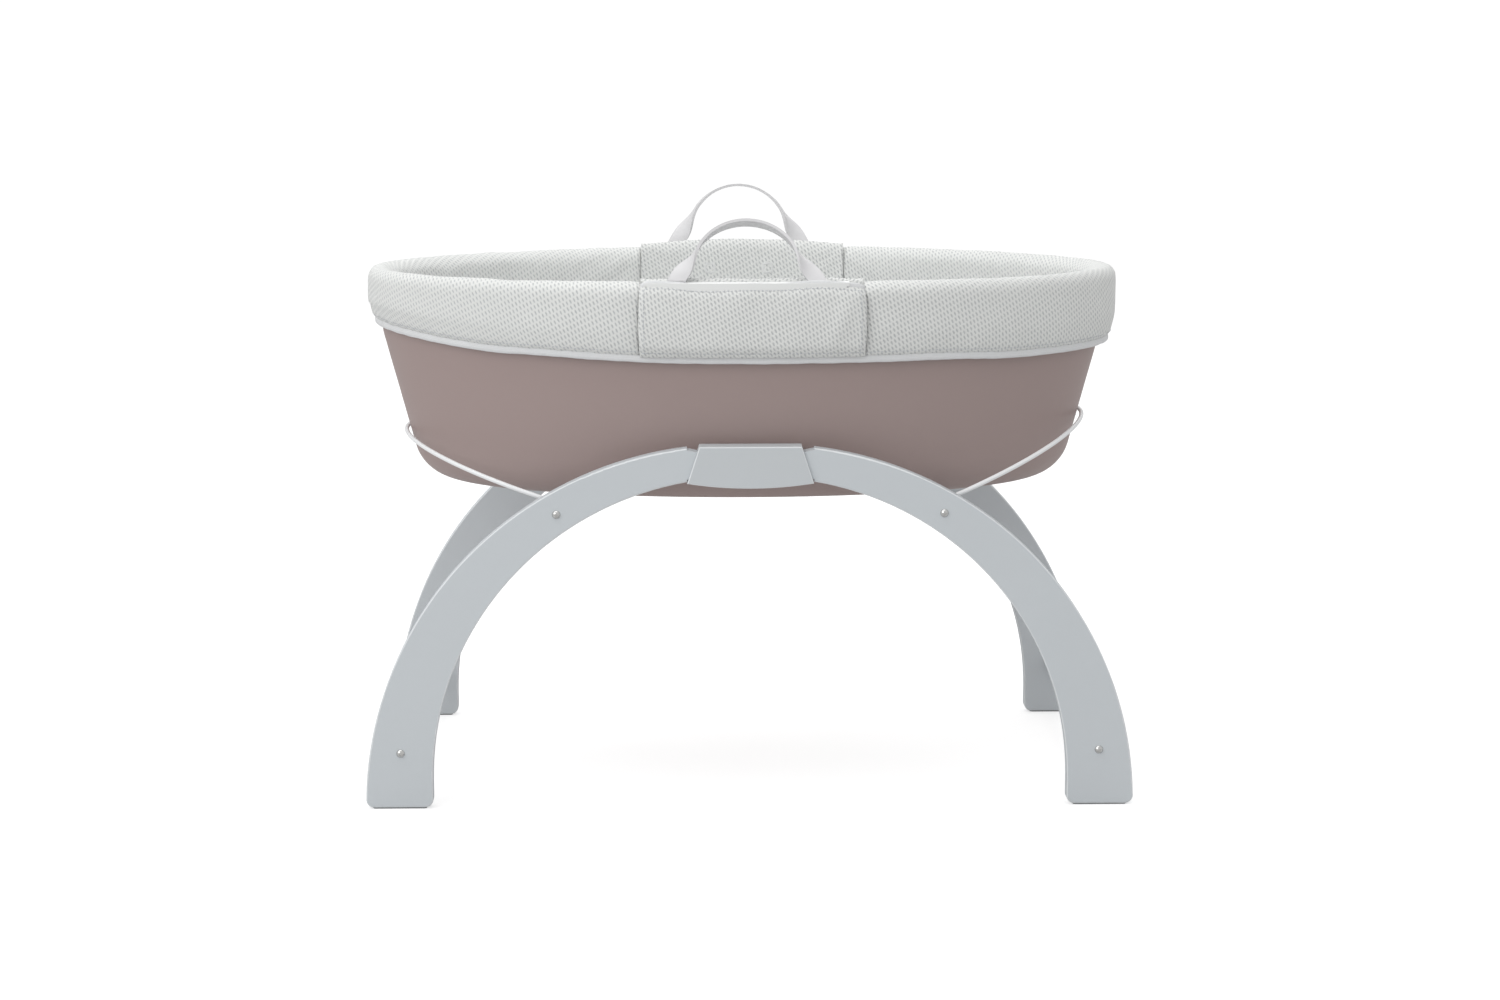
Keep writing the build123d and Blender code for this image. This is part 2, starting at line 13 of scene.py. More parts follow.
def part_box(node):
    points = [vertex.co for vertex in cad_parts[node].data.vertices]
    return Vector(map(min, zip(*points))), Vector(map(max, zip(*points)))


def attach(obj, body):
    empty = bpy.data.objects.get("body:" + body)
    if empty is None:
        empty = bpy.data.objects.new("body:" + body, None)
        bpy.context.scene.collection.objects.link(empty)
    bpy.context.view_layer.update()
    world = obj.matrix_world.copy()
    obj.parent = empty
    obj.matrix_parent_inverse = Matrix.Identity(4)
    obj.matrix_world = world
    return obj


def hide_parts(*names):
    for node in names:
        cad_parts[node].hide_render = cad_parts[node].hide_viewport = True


bl_info = {
    "name": "Bassinet on Stand",
    "version": (1, 0, 0),
    "blender": (4, 5, 0),
    "location": "View3D > Sidebar > Bassinet",
    "description": "Dresses a packed bassinet model with its cloth, stitching and finishes",
    "category": "Object",
}

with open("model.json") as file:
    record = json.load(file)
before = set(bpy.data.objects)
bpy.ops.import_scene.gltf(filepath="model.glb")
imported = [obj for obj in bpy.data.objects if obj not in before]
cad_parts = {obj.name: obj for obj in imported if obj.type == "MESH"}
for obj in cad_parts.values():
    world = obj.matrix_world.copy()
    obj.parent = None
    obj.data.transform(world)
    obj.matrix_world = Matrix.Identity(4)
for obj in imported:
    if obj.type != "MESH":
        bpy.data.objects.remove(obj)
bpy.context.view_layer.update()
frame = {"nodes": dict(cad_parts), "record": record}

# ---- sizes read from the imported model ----
TUB_LOW, TUB_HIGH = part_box("tub")
RIM_A = (TUB_HIGH.x - TUB_LOW.x) / 2      # half length of the tub's upright wall
RIM_B = (TUB_HIGH.y - TUB_LOW.y) / 2
MID_X = (TUB_HIGH.x + TUB_LOW.x) / 2
HEM_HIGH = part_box("hem_binding")[1]
PLATE_LOW, PLATE_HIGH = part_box("front_slot_plate")
LINING_LOW, LINING_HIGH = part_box("inner_lining")
PAD_LOW, PAD_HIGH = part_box("mattress")
HEM_LIFT = 0.0035                         # how much higher the hem runs along the middle
SIDES = (("front", -1), ("rear", 1))


# ------------------------------------------------------------------ settings
class BASSINET_PG_cloth(bpy.types.PropertyGroup):
    """Sizes and colours of the soft parts"""
    mesh_color: FloatVectorProperty(
        name="Mesh Color", description="Threads of the spacer mesh", subtype="COLOR",
        default=(0.80, 0.81, 0.795), min=0, max=1)
    # The hole colour is painted shade at the bottom of the mesh's holes.
    hole_shade_color: FloatVectorProperty(
        name="Hole Shade Color", description="Bottom of the holes in the spacer mesh", subtype="COLOR",
        default=(0.60, 0.62, 0.62), min=0, max=1)
    mesh_pitch: FloatProperty(
        name="Mesh Pitch", description="Distance between holes of the spacer mesh",
        default=0.0038, min=0.002, max=0.01, unit="LENGTH", precision=4)
    mesh_slant: FloatProperty(
        name="Mesh Slant", description="Lean of the rows of holes",
        default=math.radians(62), subtype="ANGLE")
    panel_half: FloatProperty(
        name="Panel Half Width", description="Half the width of the middle panels",
        default=0.1225, min=0.08, max=0.2, unit="LENGTH")
    front_panel_x: FloatProperty(
        name="Front Panel Place", description="Middle of the front panels",
        default=0.0025, unit="LENGTH", precision=4)
    rear_panel_x: FloatProperty(
        name="Rear Panel Place", description="Middle of the rear panels",
        default=0.0, unit="LENGTH", precision=4)
    hem_rise: FloatProperty(
        name="Hem Rise", description="How far the hem has ridden up at the left end",
        default=0.0265, min=0, max=0.05, unit="LENGTH")
    swell: FloatProperty(
        name="Swell", description="How far the padding may swell",
        default=0.0022, min=0, max=0.01, unit="LENGTH", precision=4)
    thread_width: FloatProperty(
        name="Thread Width", description="Thickness of a stitch",
        default=0.0009, min=0.0003, max=0.003, unit="LENGTH", precision=4)
    stitch_pitch: FloatProperty(
        name="Stitch Pitch", description="Distance from stitch to stitch",
        default=0.0042, min=0.002, max=0.01, unit="LENGTH", precision=4)
    quilt: FloatProperty(
        name="Quilt Size", description="Distance between the mattress's sewn channels",
        default=0.062, min=0.03, max=0.15, unit="LENGTH")


class BASSINET_PG_hard(bpy.types.PropertyGroup):
    """Colours of the stand, the tub and the fittings"""
    paint: FloatVectorProperty(
        name="Paint", description="Painted legs and bars", subtype="COLOR",
        default=(0.60, 0.635, 0.66), min=0, max=1)
    cover: FloatVectorProperty(
        name="Cover", description="Clamshell at the top of each arch", subtype="COLOR",
        default=(0.58, 0.61, 0.63), min=0, max=1)
    tub: FloatVectorProperty(
        name="Tub", description="Moulded tub", subtype="COLOR",
        default=(0.372, 0.290, 0.276), min=0, max=1)
    wire: FloatVectorProperty(
        name="Wire", description="Coated hoops", subtype="COLOR",
        default=(0.86, 0.87, 0.88), min=0, max=1)
    strap: FloatVectorProperty(
        name="Strap", description="Carry handles", subtype="COLOR",
        default=(0.66, 0.655, 0.665), min=0, max=1)


class BASSINET_PG_stage(bpy.types.PropertyGroup):
    """Camera, light and floor"""
    lens: FloatProperty(name="Lens", description="Focal length in millimetres", default=79.28,
                        min=20, max=300)
    distance: FloatProperty(name="Distance", description="From the camera to its target",
                            default=3.8624, unit="LENGTH")
    pitch: FloatProperty(name="Pitch", description="How far the camera looks down",
                         default=math.radians(9.786), subtype="ANGLE")
    yaw: FloatProperty(name="Yaw", description="How far the camera looks to the right",
                       default=math.radians(1.408), subtype="ANGLE")
    target: FloatVectorProperty(name="Target", description="Point that the camera looks at",
                                default=(0.00495, 0.0, 0.3076), subtype="XYZ", unit="LENGTH")
    sky: FloatProperty(name="Sky", description="Strength of the even light from all round",
                       default=0.74, min=0, max=3)


# ------------------------------------------------------------------ small maths
def smooth(low, high, x):
    """0 below low, 1 above high, eased between."""
    t = np.clip((np.asarray(x, float) - low) / (high - low), 0, 1)
    return t * t * (3 - 2 * t)


def bump_at(x, middle, width):
    """A smooth bump of height 1."""
    return np.exp(-((np.asarray(x, float) - middle) / width) ** 2)


def spread_along(points, step):
    """A smooth curve through 2-D points, sampled about every step."""
    p = np.array(points, float)
    p = np.vstack([2 * p[0] - p[1], p, 2 * p[-1] - p[-2]])
    fine = []
    for i in range(1, len(p) - 2):
        a, b, c, d = p[i - 1:i + 3]
        for t in np.linspace(0, 1, 24, endpoint=False):
            fine.append(0.5 * (2 * b + (c - a) * t + (2 * a - 5 * b + 4 * c - d) * t * t
                               + (3 * b - a - 3 * c + d) * t ** 3))
    fine = np.array(fine + [p[-2]])
    along = np.concatenate([[0], np.cumsum(np.linalg.norm(np.diff(fine, axis=0), axis=1))])
    count = max(2, round(along[-1] / step))
    at = np.linspace(0, along[-1], count + 1)
    return np.stack([np.interp(at, along, fine[:, k]) for k in (0, 1)], 1)


def even(a, b, step):
    """Points from a to b, without a, about every step."""
    a, b = np.array(a, float), np.array(b, float)
    count = max(1, round(float(np.linalg.norm(b - a)) / step))
    return [a + (b - a) * (i + 1) / count for i in range(count)]


def rim_point(angle, out, z):
    """A point of the oval rim, out from the tub's upright wall."""
    return ((RIM_A + out) * math.cos(angle) + MID_X, (RIM_B + out) * math.sin(angle), z)


def angle_at(x, out):
    """The angle on the rear half at which the rim passes x."""
    return math.acos(max(-1.0, min(1.0, (x - MID_X) / (RIM_A + out))))


def hem_top(x):
    """Height of the hem's upper edge: it has ridden up at the left end."""
    c = (MID_X - x) / RIM_A
    rise = bpy.context.scene.bassinet_cloth.hem_rise
    lift = HEM_LIFT * (1 - float(smooth(0.20, 0.30, abs(x))))
    return HEM_HIGH.z + lift + rise * max(c, 0) ** 2.3 + 0.004 * max(-c, 0) ** 3


def ripple(x, y, z, size, seed):
    """Smooth noise about -1 to 1 at a point."""
    return noise.noise(Vector((x / size + seed, y / size, z / size)))


# ------------------------------------------------------------------ mesh makers
def new_piece(name, mesh, material):
    """An object at the origin with one material and smooth faces."""
    mesh.materials.clear()
    mesh.materials.append(material)
    mesh.polygons.foreach_set("use_smooth", [True] * len(mesh.polygons))
    piece = bpy.data.objects.new(name, mesh)
    bpy.context.scene.collection.objects.link(piece)
    return piece


def skin(name, grid, material, loop_u=False, loop_v=False, caps=False):
    """A surface through a grid of points, with a UV map named cloth in metres."""
    p = np.array(grid, float)
    nu, nv = p.shape[:2]
    bm = bmesh.new()
    verts = [[bm.verts.new(p[i, j]) for j in range(nv)] for i in range(nu)]
    uv = bm.loops.layers.uv.new("cloth")
    wide = np.vstack([p, p[:1]]) if loop_u else p
    tall = np.concatenate([p, p[:, :1]], 1) if loop_v else p
    u = np.concatenate([[0], np.cumsum(np.linalg.norm(np.diff(wide, axis=0), axis=2).mean(1))])
    v = np.concatenate([[0], np.cumsum(np.linalg.norm(np.diff(tall, axis=1), axis=2).mean(0))])
    for i in range(nu if loop_u else nu - 1):
        for j in range(nv if loop_v else nv - 1):
            k, m = (i + 1) % nu, (j + 1) % nv
            face = bm.faces.new((verts[i][j], verts[k][j], verts[k][m], verts[i][m]))
            for loop, place in zip(face.loops, ((u[i], v[j]), (u[i + 1], v[j]),
                                                (u[i + 1], v[j + 1]), (u[i], v[j + 1]))):
                loop[uv].uv = place
    if caps:
        for row in (verts[0], verts[-1]):
            bm.faces.new(row)
    bmesh.ops.recalc_face_normals(bm, faces=bm.faces)
    mesh = bpy.data.meshes.new(name)
    bm.to_mesh(mesh)
    bm.free()
    return new_piece(name, mesh, material)


def flat_piece(piece):
    """Turns modifiers into plain mesh."""
    depsgraph = bpy.context.evaluated_depsgraph_get()
    mesh = bpy.data.meshes.new_from_object(piece.evaluated_get(depsgraph),
                                           preserve_all_data_layers=True, depsgraph=depsgraph)
    old = piece.data
    piece.modifiers.clear()
    piece.data = mesh
    bpy.data.meshes.remove(old)
    return piece


def coords(mesh):
    """The points of a mesh as an array."""
    p = np.zeros(len(mesh.vertices) * 3, np.float32)
    mesh.vertices.foreach_get("co", p)
    return p.reshape(-1, 3).astype(float)


def set_coords(mesh, p):
    mesh.vertices.foreach_set("co", np.asarray(p, np.float32).ravel())
    mesh.update()


def inflate(piece, held, pressure, most, frames=20, stiff=15.0):
    """Swells a padded piece as cloth; held is 1 where a point can't move, and no point
    moves further than most."""
    start = coords(piece.data)
    group = piece.vertex_groups.new(name="held")
    for i, weight in enumerate(held):
        if weight > 0:
            group.add([i], float(weight), "REPLACE")
    cloth = piece.modifiers.new("Swell", "CLOTH")
    cloth.settings.vertex_group_mass = "held"
    cloth.settings.use_pressure = True
    cloth.settings.uniform_pressure_force = pressure
    cloth.settings.effector_weights.gravity = 0
    cloth.settings.tension_stiffness = cloth.settings.compression_stiffness = stiff
    cloth.settings.quality = 5
    cloth.collision_settings.use_collision = False
    cloth.point_cache.frame_start, cloth.point_cache.frame_end = 1, frames
    scene = bpy.context.scene
    for f in range(1, frames + 1):
        scene.frame_set(f)
    depsgraph = bpy.context.evaluated_depsgraph_get()
    moved = coords(piece.evaluated_get(depsgraph).data) - start
    piece.modifiers.remove(cloth)
    piece.vertex_groups.remove(group)
    scene.frame_set(1)
    far = np.linalg.norm(moved, axis=1)
    share = most * np.tanh(far / most) / np.maximum(far, 1e-9)
    set_coords(piece.data, start + moved * share[:, None])


# ------------------------------------------------------------------ node trees
class Tree:
    """Short ways to add and join nodes of one tree."""

    def __init__(self, tree):
        self.tree = tree

    def add(self, kind, values=(), **props):
        node = self.tree.nodes.new(kind)
        for key, value in props.items():
            setattr(node, key, value)
        for key, value in dict(values).items():
            self.put(value, node.inputs[key])
        return node

    def put(self, value, socket):
        if isinstance(value, bpy.types.NodeSocket):
            self.tree.links.new(value, socket)
        else:
            socket.default_value = value

    def math(self, operation, a, b=0.0, c=0.0):
        return self.add("ShaderNodeMath", {0: a, 1: b, 2: c}, operation=operation).outputs[0]

    def ramp(self, value, low, high, to_low=0.0, to_high=1.0):
        """Eased change from to_low to to_high as value goes from low to high."""
        return self.add("ShaderNodeMapRange", {"Value": value, "From Min": low, "From Max": high,
                                               "To Min": to_low, "To Max": to_high},
                        interpolation_type="SMOOTHSTEP").outputs["Result"]

    def mix(self, share, a, b):
        """A colour between a and b."""
        node = self.add("ShaderNodeMix", data_type="RGBA")
        for value, socket in ((share, node.inputs[0]), (a, node.inputs[6]), (b, node.inputs[7])):
            self.put(value, socket)
        return node.outputs[2]

    def noise(self, vector, scale, detail=2.0, rough=0.5):
        node = self.add("ShaderNodeTexNoise", {"Vector": vector, "Scale": scale,
                                               "Detail": detail, "Roughness": rough})
        return node.outputs["Fac"]


def shader_group(name, inputs, outputs):
    """An empty shader node group with named sockets, its helper and its two ends."""
    group = bpy.data.node_groups.new(name, "ShaderNodeTree")
    for kind, label, value in inputs:
        socket = group.interface.new_socket(label, in_out="INPUT", socket_type=kind)
        if value is not None:
            socket.default_value = value
    for kind, label in outputs:
        group.interface.new_socket(label, in_out="OUTPUT", socket_type=kind)
    t = Tree(group)
    return t, t.add("NodeGroupInput").outputs, t.add("NodeGroupOutput").inputs


def spacer_mesh_group():
    """Slanting rows of small holes, as in a three-dimensional spacer mesh."""
    t, given, out = shader_group(
        "Spacer Mesh",
        [("NodeSocketVector", "Vector", None), ("NodeSocketFloat", "Pitch", 0.004),
         ("NodeSocketFloat", "Slant", 1.0)],
        [("NodeSocketFloat", "Height"), ("NodeSocketFloat", "Hole")])
    warp = t.add("ShaderNodeTexNoise", {"Vector": given["Vector"], "Scale": 34.0, "Detail": 1.0})
    shift = t.add("ShaderNodeVectorMath", {0: warp.outputs["Color"], 1: (0.0012,) * 3},
                  operation="MULTIPLY").outputs[0]
    place = t.add("ShaderNodeVectorMath", {0: given["Vector"], 1: shift}).outputs[0]
    turn = t.add("ShaderNodeVectorRotate", {"Vector": place, "Angle": given["Slant"]},
                 rotation_type="Z_AXIS").outputs[0]
    parts = t.add("ShaderNodeSeparateXYZ", {0: turn}).outputs
    rate = t.math("DIVIDE", 2 * math.pi, given["Pitch"])
    waves = []
    for lean in (0.32, -0.32):
        along = t.math("ADD", t.math("MULTIPLY", parts["X"], lean),
                       t.math("MULTIPLY", parts["Y"], 0.88))
        waves.append(t.math("COSINE", t.math("MULTIPLY", along, rate)))
    hole = t.ramp(t.math("ADD", waves[0], waves[1]), 0.25, 1.7)
    t.put(hole, out["Hole"])
    t.put(t.math("SUBTRACT", 1.0, hole), out["Height"])


def knit_group():
    """Fine ribs of small loops, as in jersey, braid or binding, with painted shade in the low parts
    between them.
    """
    t, given, out = shader_group(
        "Fine Knit", [("NodeSocketVector", "Vector", None), ("NodeSocketFloat", "Pitch", 0.001)],
        [("NodeSocketFloat", "Height"), ("NodeSocketFloat", "Groove Shade")])
    parts = t.add("ShaderNodeSeparateXYZ", {0: given["Vector"]}).outputs
    rate = t.math("DIVIDE", 2 * math.pi, given["Pitch"])
    across = t.math("MULTIPLY", parts["X"], rate)
    column = t.math("COSINE", across)
    lean = t.math("MULTIPLY", t.math("ABSOLUTE", t.math("SINE", t.math("MULTIPLY", across, 0.5))),
                  math.pi)
    row = t.math("SINE", t.math("ADD", t.math("MULTIPLY", parts["Y"], rate), lean))
    both = t.math("MULTIPLY", t.math("ADD", t.math("MULTIPLY", column, -0.6), row), 0.3)
    height = t.math("ADD", both, 0.5)
    t.put(height, out["Height"])
    # The low parts of the knit get a darker tone: painted shade in its grooves.
    t.put(t.ramp(height, 0.2, 0.8, 0.0, 1.0), out["Groove Shade"])


def mottle_group():
    """Slow changes of shade over a surface, and a little dust in patches."""
    t, given, out = shader_group(
        "Mottle", [("NodeSocketVector", "Vector", None), ("NodeSocketColor", "Color", (1, 1, 1, 1)),
                   ("NodeSocketFloat", "Amount", 0.05), ("NodeSocketFloat", "Scale", 8.0)],
        [("NodeSocketColor", "Color"), ("NodeSocketFloat", "Mask")])
    slow = t.noise(given["Vector"], given["Scale"], 3.0, 0.55)
    fine = t.noise(given["Vector"], t.math("MULTIPLY", given["Scale"], 22.0), 2.0, 0.6)
    both = t.math("ADD", t.math("MULTIPLY", slow, 0.7), t.math("MULTIPLY", fine, 0.3))
    level = t.math("ADD", 1.0, t.math("MULTIPLY", t.math("SUBTRACT", both, 0.5),
                                      t.math("MULTIPLY", given["Amount"], 2.0)))
    scaled = t.add("ShaderNodeVectorMath", {0: given["Color"], "Scale": level},
                   operation="SCALE").outputs[0]
    t.put(scaled, out["Color"])
    t.put(both, out["Mask"])


def skin_group():
    """The faint orange peel of sprayed paint and moulded plastic."""
    t, given, out = shader_group(
        "Fine Skin", [("NodeSocketVector", "Vector", None), ("NodeSocketFloat", "Scale", 900.0),
                      ("NodeSocketFloat", "Roughness", 0.4), ("NodeSocketFloat", "Spread", 0.08)],
        [("NodeSocketFloat", "Height"), ("NodeSocketFloat", "Roughness")])
    peel = t.noise(given["Vector"], given["Scale"], 2.0, 0.5)
    rub = t.noise(given["Vector"], t.math("MULTIPLY", given["Scale"], 0.02), 4.0, 0.6)
    t.put(peel, out["Height"])
    t.put(t.math("ADD", given["Roughness"],
                 t.math("MULTIPLY", t.math("SUBTRACT", rub, 0.5), given["Spread"])),
          out["Roughness"])


def edge_group():
    """Painted highlight: a paler colour on the rounded edges of flat painted and moulded parts,
    where the light catches them.
    """
    t, given, out = shader_group(
        "Painted Edge Highlight", [("NodeSocketColor", "Color", (1, 1, 1, 1)),
                        ("NodeSocketColor", "Highlight Color", (1, 1, 1, 1)),
                        ("NodeSocketFloat", "Amount", 0.5)],
        [("NodeSocketColor", "Color"), ("NodeSocketFloat", "Mask")])
    normal = t.add("ShaderNodeTexCoord").outputs["Normal"]
    parts = t.add("ShaderNodeSeparateXYZ", {0: normal}).outputs
    across = t.math("ABSOLUTE", parts["Y"])
    # Mask of the rounded edges between flat faces and sides, which get a painted highlight
    turned = t.math("MULTIPLY", t.ramp(across, 0.25, 0.55), t.ramp(across, 0.985, 0.90))
    highlight_mask = t.math("MULTIPLY", turned, given["Amount"])
    t.put(t.mix(highlight_mask, given["Color"], given["Highlight Color"]), out["Color"])
    t.put(highlight_mask, out["Mask"])


GROUPS = {"Spacer Mesh": spacer_mesh_group, "Fine Knit": knit_group, "Mottle": mottle_group,
          "Fine Skin": skin_group, "Painted Edge Highlight": edge_group}


class Finish(Tree):
    """A material under construction."""

    def __init__(self, name, roughness, **sockets):
        material = bpy.data.materials.new(name)
        material.use_nodes = True
        super().__init__(material.node_tree)
        self.material = material
        self.shader = self.tree.nodes["Principled BSDF"]
        self.set({"Roughness": roughness, **sockets})

    def set(self, values):
        for key, value in values.items():
            self.put(value, self.shader.inputs[key])

    def group(self, name, values):
        if name not in bpy.data.node_groups:
            GROUPS[name]()
        node = self.add("ShaderNodeGroup", node_tree=bpy.data.node_groups[name])
        for key, value in values.items():
            self.put(value, node.inputs[key])
        return node.outputs

    def place(self, cloth=False):
        """Object coordinates, or the cloth's own map."""
        if cloth:
            return self.add("ShaderNodeUVMap", uv_map="cloth").outputs["UV"]
        return self.add("ShaderNodeTexCoord").outputs["Object"]

    def bump(self, height, distance, strength=1.0, under=None):
        node = self.add("ShaderNodeBump", {"Height": height, "Distance": distance,
                                           "Strength": strength})
        if under is not None:
            self.put(under, node.inputs["Normal"])
        return node.outputs["Normal"]


def rgba(color):
    return (*color, 1.0)


def hard_finish(name, color, roughness, edge=None, amount=0.6, mottle=0.025, peel=0.00004,
                scale=900.0, **sockets):
    """Paint or moulded plastic: fine skin, slow changes of shade and, if asked, a painted highlight
    on rounded edges.
    """
    f = Finish(name, roughness, **sockets)
    at = f.place()
    shade = f.group("Mottle", {"Vector": at, "Color": rgba(color), "Amount": mottle,
                               "Scale": 6.0})["Color"]
    # edge is the colour of the painted highlight on rounded edges
    if edge:
        shade = f.group("Painted Edge Highlight", {"Color": shade, "Highlight Color": rgba(edge),
                                        "Amount": amount})["Color"]
    fine = f.group("Fine Skin", {"Vector": at, "Scale": scale, "Roughness": roughness,
                                 "Spread": 0.1})
    f.set({"Base Color": shade, "Roughness": fine["Roughness"],
           "Normal": f.bump(fine["Height"], peel)})
    return f.material


def knit_finish(name, color, pitch, depth, roughness=0.9, cloth=True, groove_shade=0.82, **sockets):
    """A fine knitted or braided cloth, with painted shade in the grooves of its knit."""
    f = Finish(name, roughness, **sockets)
    at = f.place(cloth)
    knit = f.group("Fine Knit", {"Vector": at, "Pitch": pitch})
    shade = f.group("Mottle", {"Vector": f.place(), "Color": rgba(color), "Amount": 0.03,
                               "Scale": 9.0})["Color"]
    # The colour darkened for the painted shade in the knit's grooves
    low = f.add("ShaderNodeVectorMath", {0: shade, "Scale": groove_shade}, operation="SCALE").outputs[0]
    f.set({"Base Color": f.mix(knit["Groove Shade"], low, shade),
           "Normal": f.bump(knit["Height"], depth)})
    return f.material


def mesh_finish(name, color, holes, pitch, slant):
    """Spacer mesh: rows of holes in soft white thread, with painted shade in the holes."""
    f = Finish(name, 0.85)
    f.set({"Sheen Weight": 0.15, "Sheen Roughness": 0.5})
    at = f.place(True)
    mesh = f.group("Spacer Mesh", {"Vector": at, "Pitch": pitch, "Slant": slant})
    shade = f.group("Mottle", {"Vector": f.place(), "Color": rgba(color), "Amount": 0.03,
                               "Scale": 7.0})["Color"]
    knit = f.group("Fine Knit", {"Vector": at, "Pitch": 0.0007})
    both = f.math("ADD", mesh["Height"], f.math("MULTIPLY", knit["Height"], 0.12))
    # holes is the painted shade at the bottom of the holes
    f.set({"Base Color": f.mix(mesh["Hole"], shade, rgba(holes)),
           "Normal": f.bump(both, 0.0009, 0.9)})
    return f.material


def build_finish(name):
    """Makes one finish by its slot's name."""
    cloth, hard = bpy.context.scene.bassinet_cloth, bpy.context.scene.bassinet_hard
    if name == "painted_wood":
        # The pale edge colour is a painted highlight on the legs' rounded edges
        return hard_finish(name, hard.paint, 0.52, edge=(0.88, 0.90, 0.91), mottle=0.02,
                           scale=620.0, **{"Specular IOR Level": 0.35})
    if name == "painted_bar":
        return hard_finish(name, hard.paint, 0.5)
    if name == "cover_plastic":
        # The pale edge colour is a painted highlight on the cover's rounded edges
        return hard_finish(name, hard.cover, 0.52, edge=(0.88, 0.90, 0.91),
                           scale=1400.0, **{"Specular IOR Level": 0.35})
    if name == "bright_steel":
        return hard_finish(name, (0.62, 0.62, 0.61), 0.22, Metallic=1.0)
    if name == "glide_rubber":
        return hard_finish(name, (0.27, 0.28, 0.29), 0.8, scale=2200.0)
    if name == "nylon":
        return hard_finish(name, (0.72, 0.72, 0.69), 0.4)
    if name == "coated_wire":
        return hard_finish(name, hard.wire, 0.3)
    if name == "tub_plastic":
        return hard_finish(name, hard.tub, 0.45, mottle=0.03, scale=1100.0,
                           **{"Specular IOR Level": 0.4})
    if name == "board":
        return hard_finish(name, (0.70, 0.70, 0.68), 0.6)
    if name == "white_plastic":
        return hard_finish(name, (0.83, 0.84, 0.83), 0.38)
    if name == "strap_plastic":
        return hard_finish(name, hard.strap, 0.45, scale=1600.0)
    if name == "mesh_cloth":
        return mesh_finish(name, cloth.mesh_color, cloth.hole_shade_color, cloth.mesh_pitch,
                           cloth.mesh_slant)
    if name == "lining_cloth":
        return knit_finish(name, (0.82, 0.835, 0.835), 0.0022, 0.00025)
    if name == "mattress_cloth":
        return knit_finish(name, (0.85, 0.855, 0.85), 0.0020, 0.0002, cloth=False)
    if name == "binding_cloth":
        return knit_finish(name, (0.84, 0.85, 0.86), 0.0014, 0.00025, roughness=0.75)
    if name == "wadding":
        return knit_finish(name, (0.86, 0.86, 0.85), 0.006, 0.0008, cloth=False)
    if name == "patch_plastic":
        return knit_finish(name, (0.85, 0.86, 0.855), 0.0012, 0.0001, cloth=False)
    if name == "thread":
        # Grey thread of real stitching, made darker than the cloth so that the row above the hem
        # also gives the shade line there: partly painted shade.
        return knit_finish(name, (0.66, 0.68, 0.71), 0.0006, 0.0001, cloth=False)
    raise ValueError(f"no finish is called {name}")


def finish(name):
    """A finish, made once."""
    return bpy.data.materials.get("made_" + name) or named(name)


def named(name):
    material = build_finish(name)
    material.name = "made_" + name
    return material


# ------------------------------------------------------------------ repeated small pieces
def geometry_tree(name, inputs):
    """An empty Geometry Nodes tree with named inputs."""
    tree = bpy.data.node_groups.new(name, "GeometryNodeTree")
    tree.interface.new_socket("Geometry", in_out="INPUT", socket_type="NodeSocketGeometry")
    for kind, label, value in inputs:
        socket = tree.interface.new_socket(label, in_out="INPUT", socket_type=kind)
        if value is not None:
            socket.default_value = value
    tree.interface.new_socket("Geometry", in_out="OUTPUT", socket_type="NodeSocketGeometry")
    t = Tree(tree)
    return t, t.add("NodeGroupInput").outputs, t.add("NodeGroupOutput").inputs


def stitch_tree():
    """Stitches laid end to end along every line of the mesh."""
    t, given, out = geometry_tree("Stitches", [
        ("NodeSocketFloat", "Pitch", 0.004), ("NodeSocketFloat", "Length", 0.003),
        ("NodeSocketFloat", "Width", 0.001), ("NodeSocketMaterial", "Material", None)])
    line = t.add("GeometryNodeMeshToCurve", {"Mesh": given["Geometry"]}).outputs["Curve"]
    resample = t.add("GeometryNodeResampleCurve")
    if hasattr(resample, "mode"):
        resample.mode = "LENGTH"
    t.put(line, resample.inputs["Curve"])
    t.put(given["Pitch"], resample.inputs["Length"])
    bead = t.add("GeometryNodeMeshUVSphere", {"Segments": 6, "Rings": 4, "Radius": 0.5})
    size = t.add("ShaderNodeCombineXYZ", {"X": given["Length"], "Y": given["Width"],
                                          "Z": given["Width"]}).outputs[0]
    shaped = t.add("GeometryNodeTransform", {"Geometry": bead.outputs["Mesh"], "Scale": size})
    turn = t.add("FunctionNodeAlignRotationToVector", axis="X")
    t.put(t.add("GeometryNodeInputTangent").outputs[0], turn.inputs["Vector"])
    rows = t.add("GeometryNodeInstanceOnPoints", {
        "Points": resample.outputs[0], "Instance": shaped.outputs[0],
        "Rotation": turn.outputs[0]})
    real = t.add("GeometryNodeRealizeInstances", {0: rows.outputs[0]})
    soft = t.add("GeometryNodeSetShadeSmooth", {0: real.outputs[0]})
    done = t.add("GeometryNodeSetMaterial", {0: soft.outputs[0],
                                             "Material": given["Material"]})
    t.put(done.outputs[0], out["Geometry"])
    return t.tree


def piping_tree():
    """A round piping that follows every line of the mesh."""
    t, given, out = geometry_tree("Piping", [
        ("NodeSocketFloat", "Radius", 0.002), ("NodeSocketMaterial", "Material", None)])
    line = t.add("GeometryNodeMeshToCurve", {"Mesh": given["Geometry"]}).outputs["Curve"]
    ring = t.add("GeometryNodeCurvePrimitiveCircle", {"Resolution": 10,
                                                      "Radius": given["Radius"]})
    tube = t.add("GeometryNodeCurveToMesh", {"Curve": line, "Profile Curve": ring.outputs[0],
                                             "Fill Caps": True})
    soft = t.add("GeometryNodeSetShadeSmooth", {0: tube.outputs[0]})
    real = t.add("GeometryNodeRealizeInstances", {0: soft.outputs[0]})
    done = t.add("GeometryNodeSetMaterial", {0: real.outputs[0],
                                             "Material": given["Material"]})
    t.put(done.outputs[0], out["Geometry"])
    return t.tree


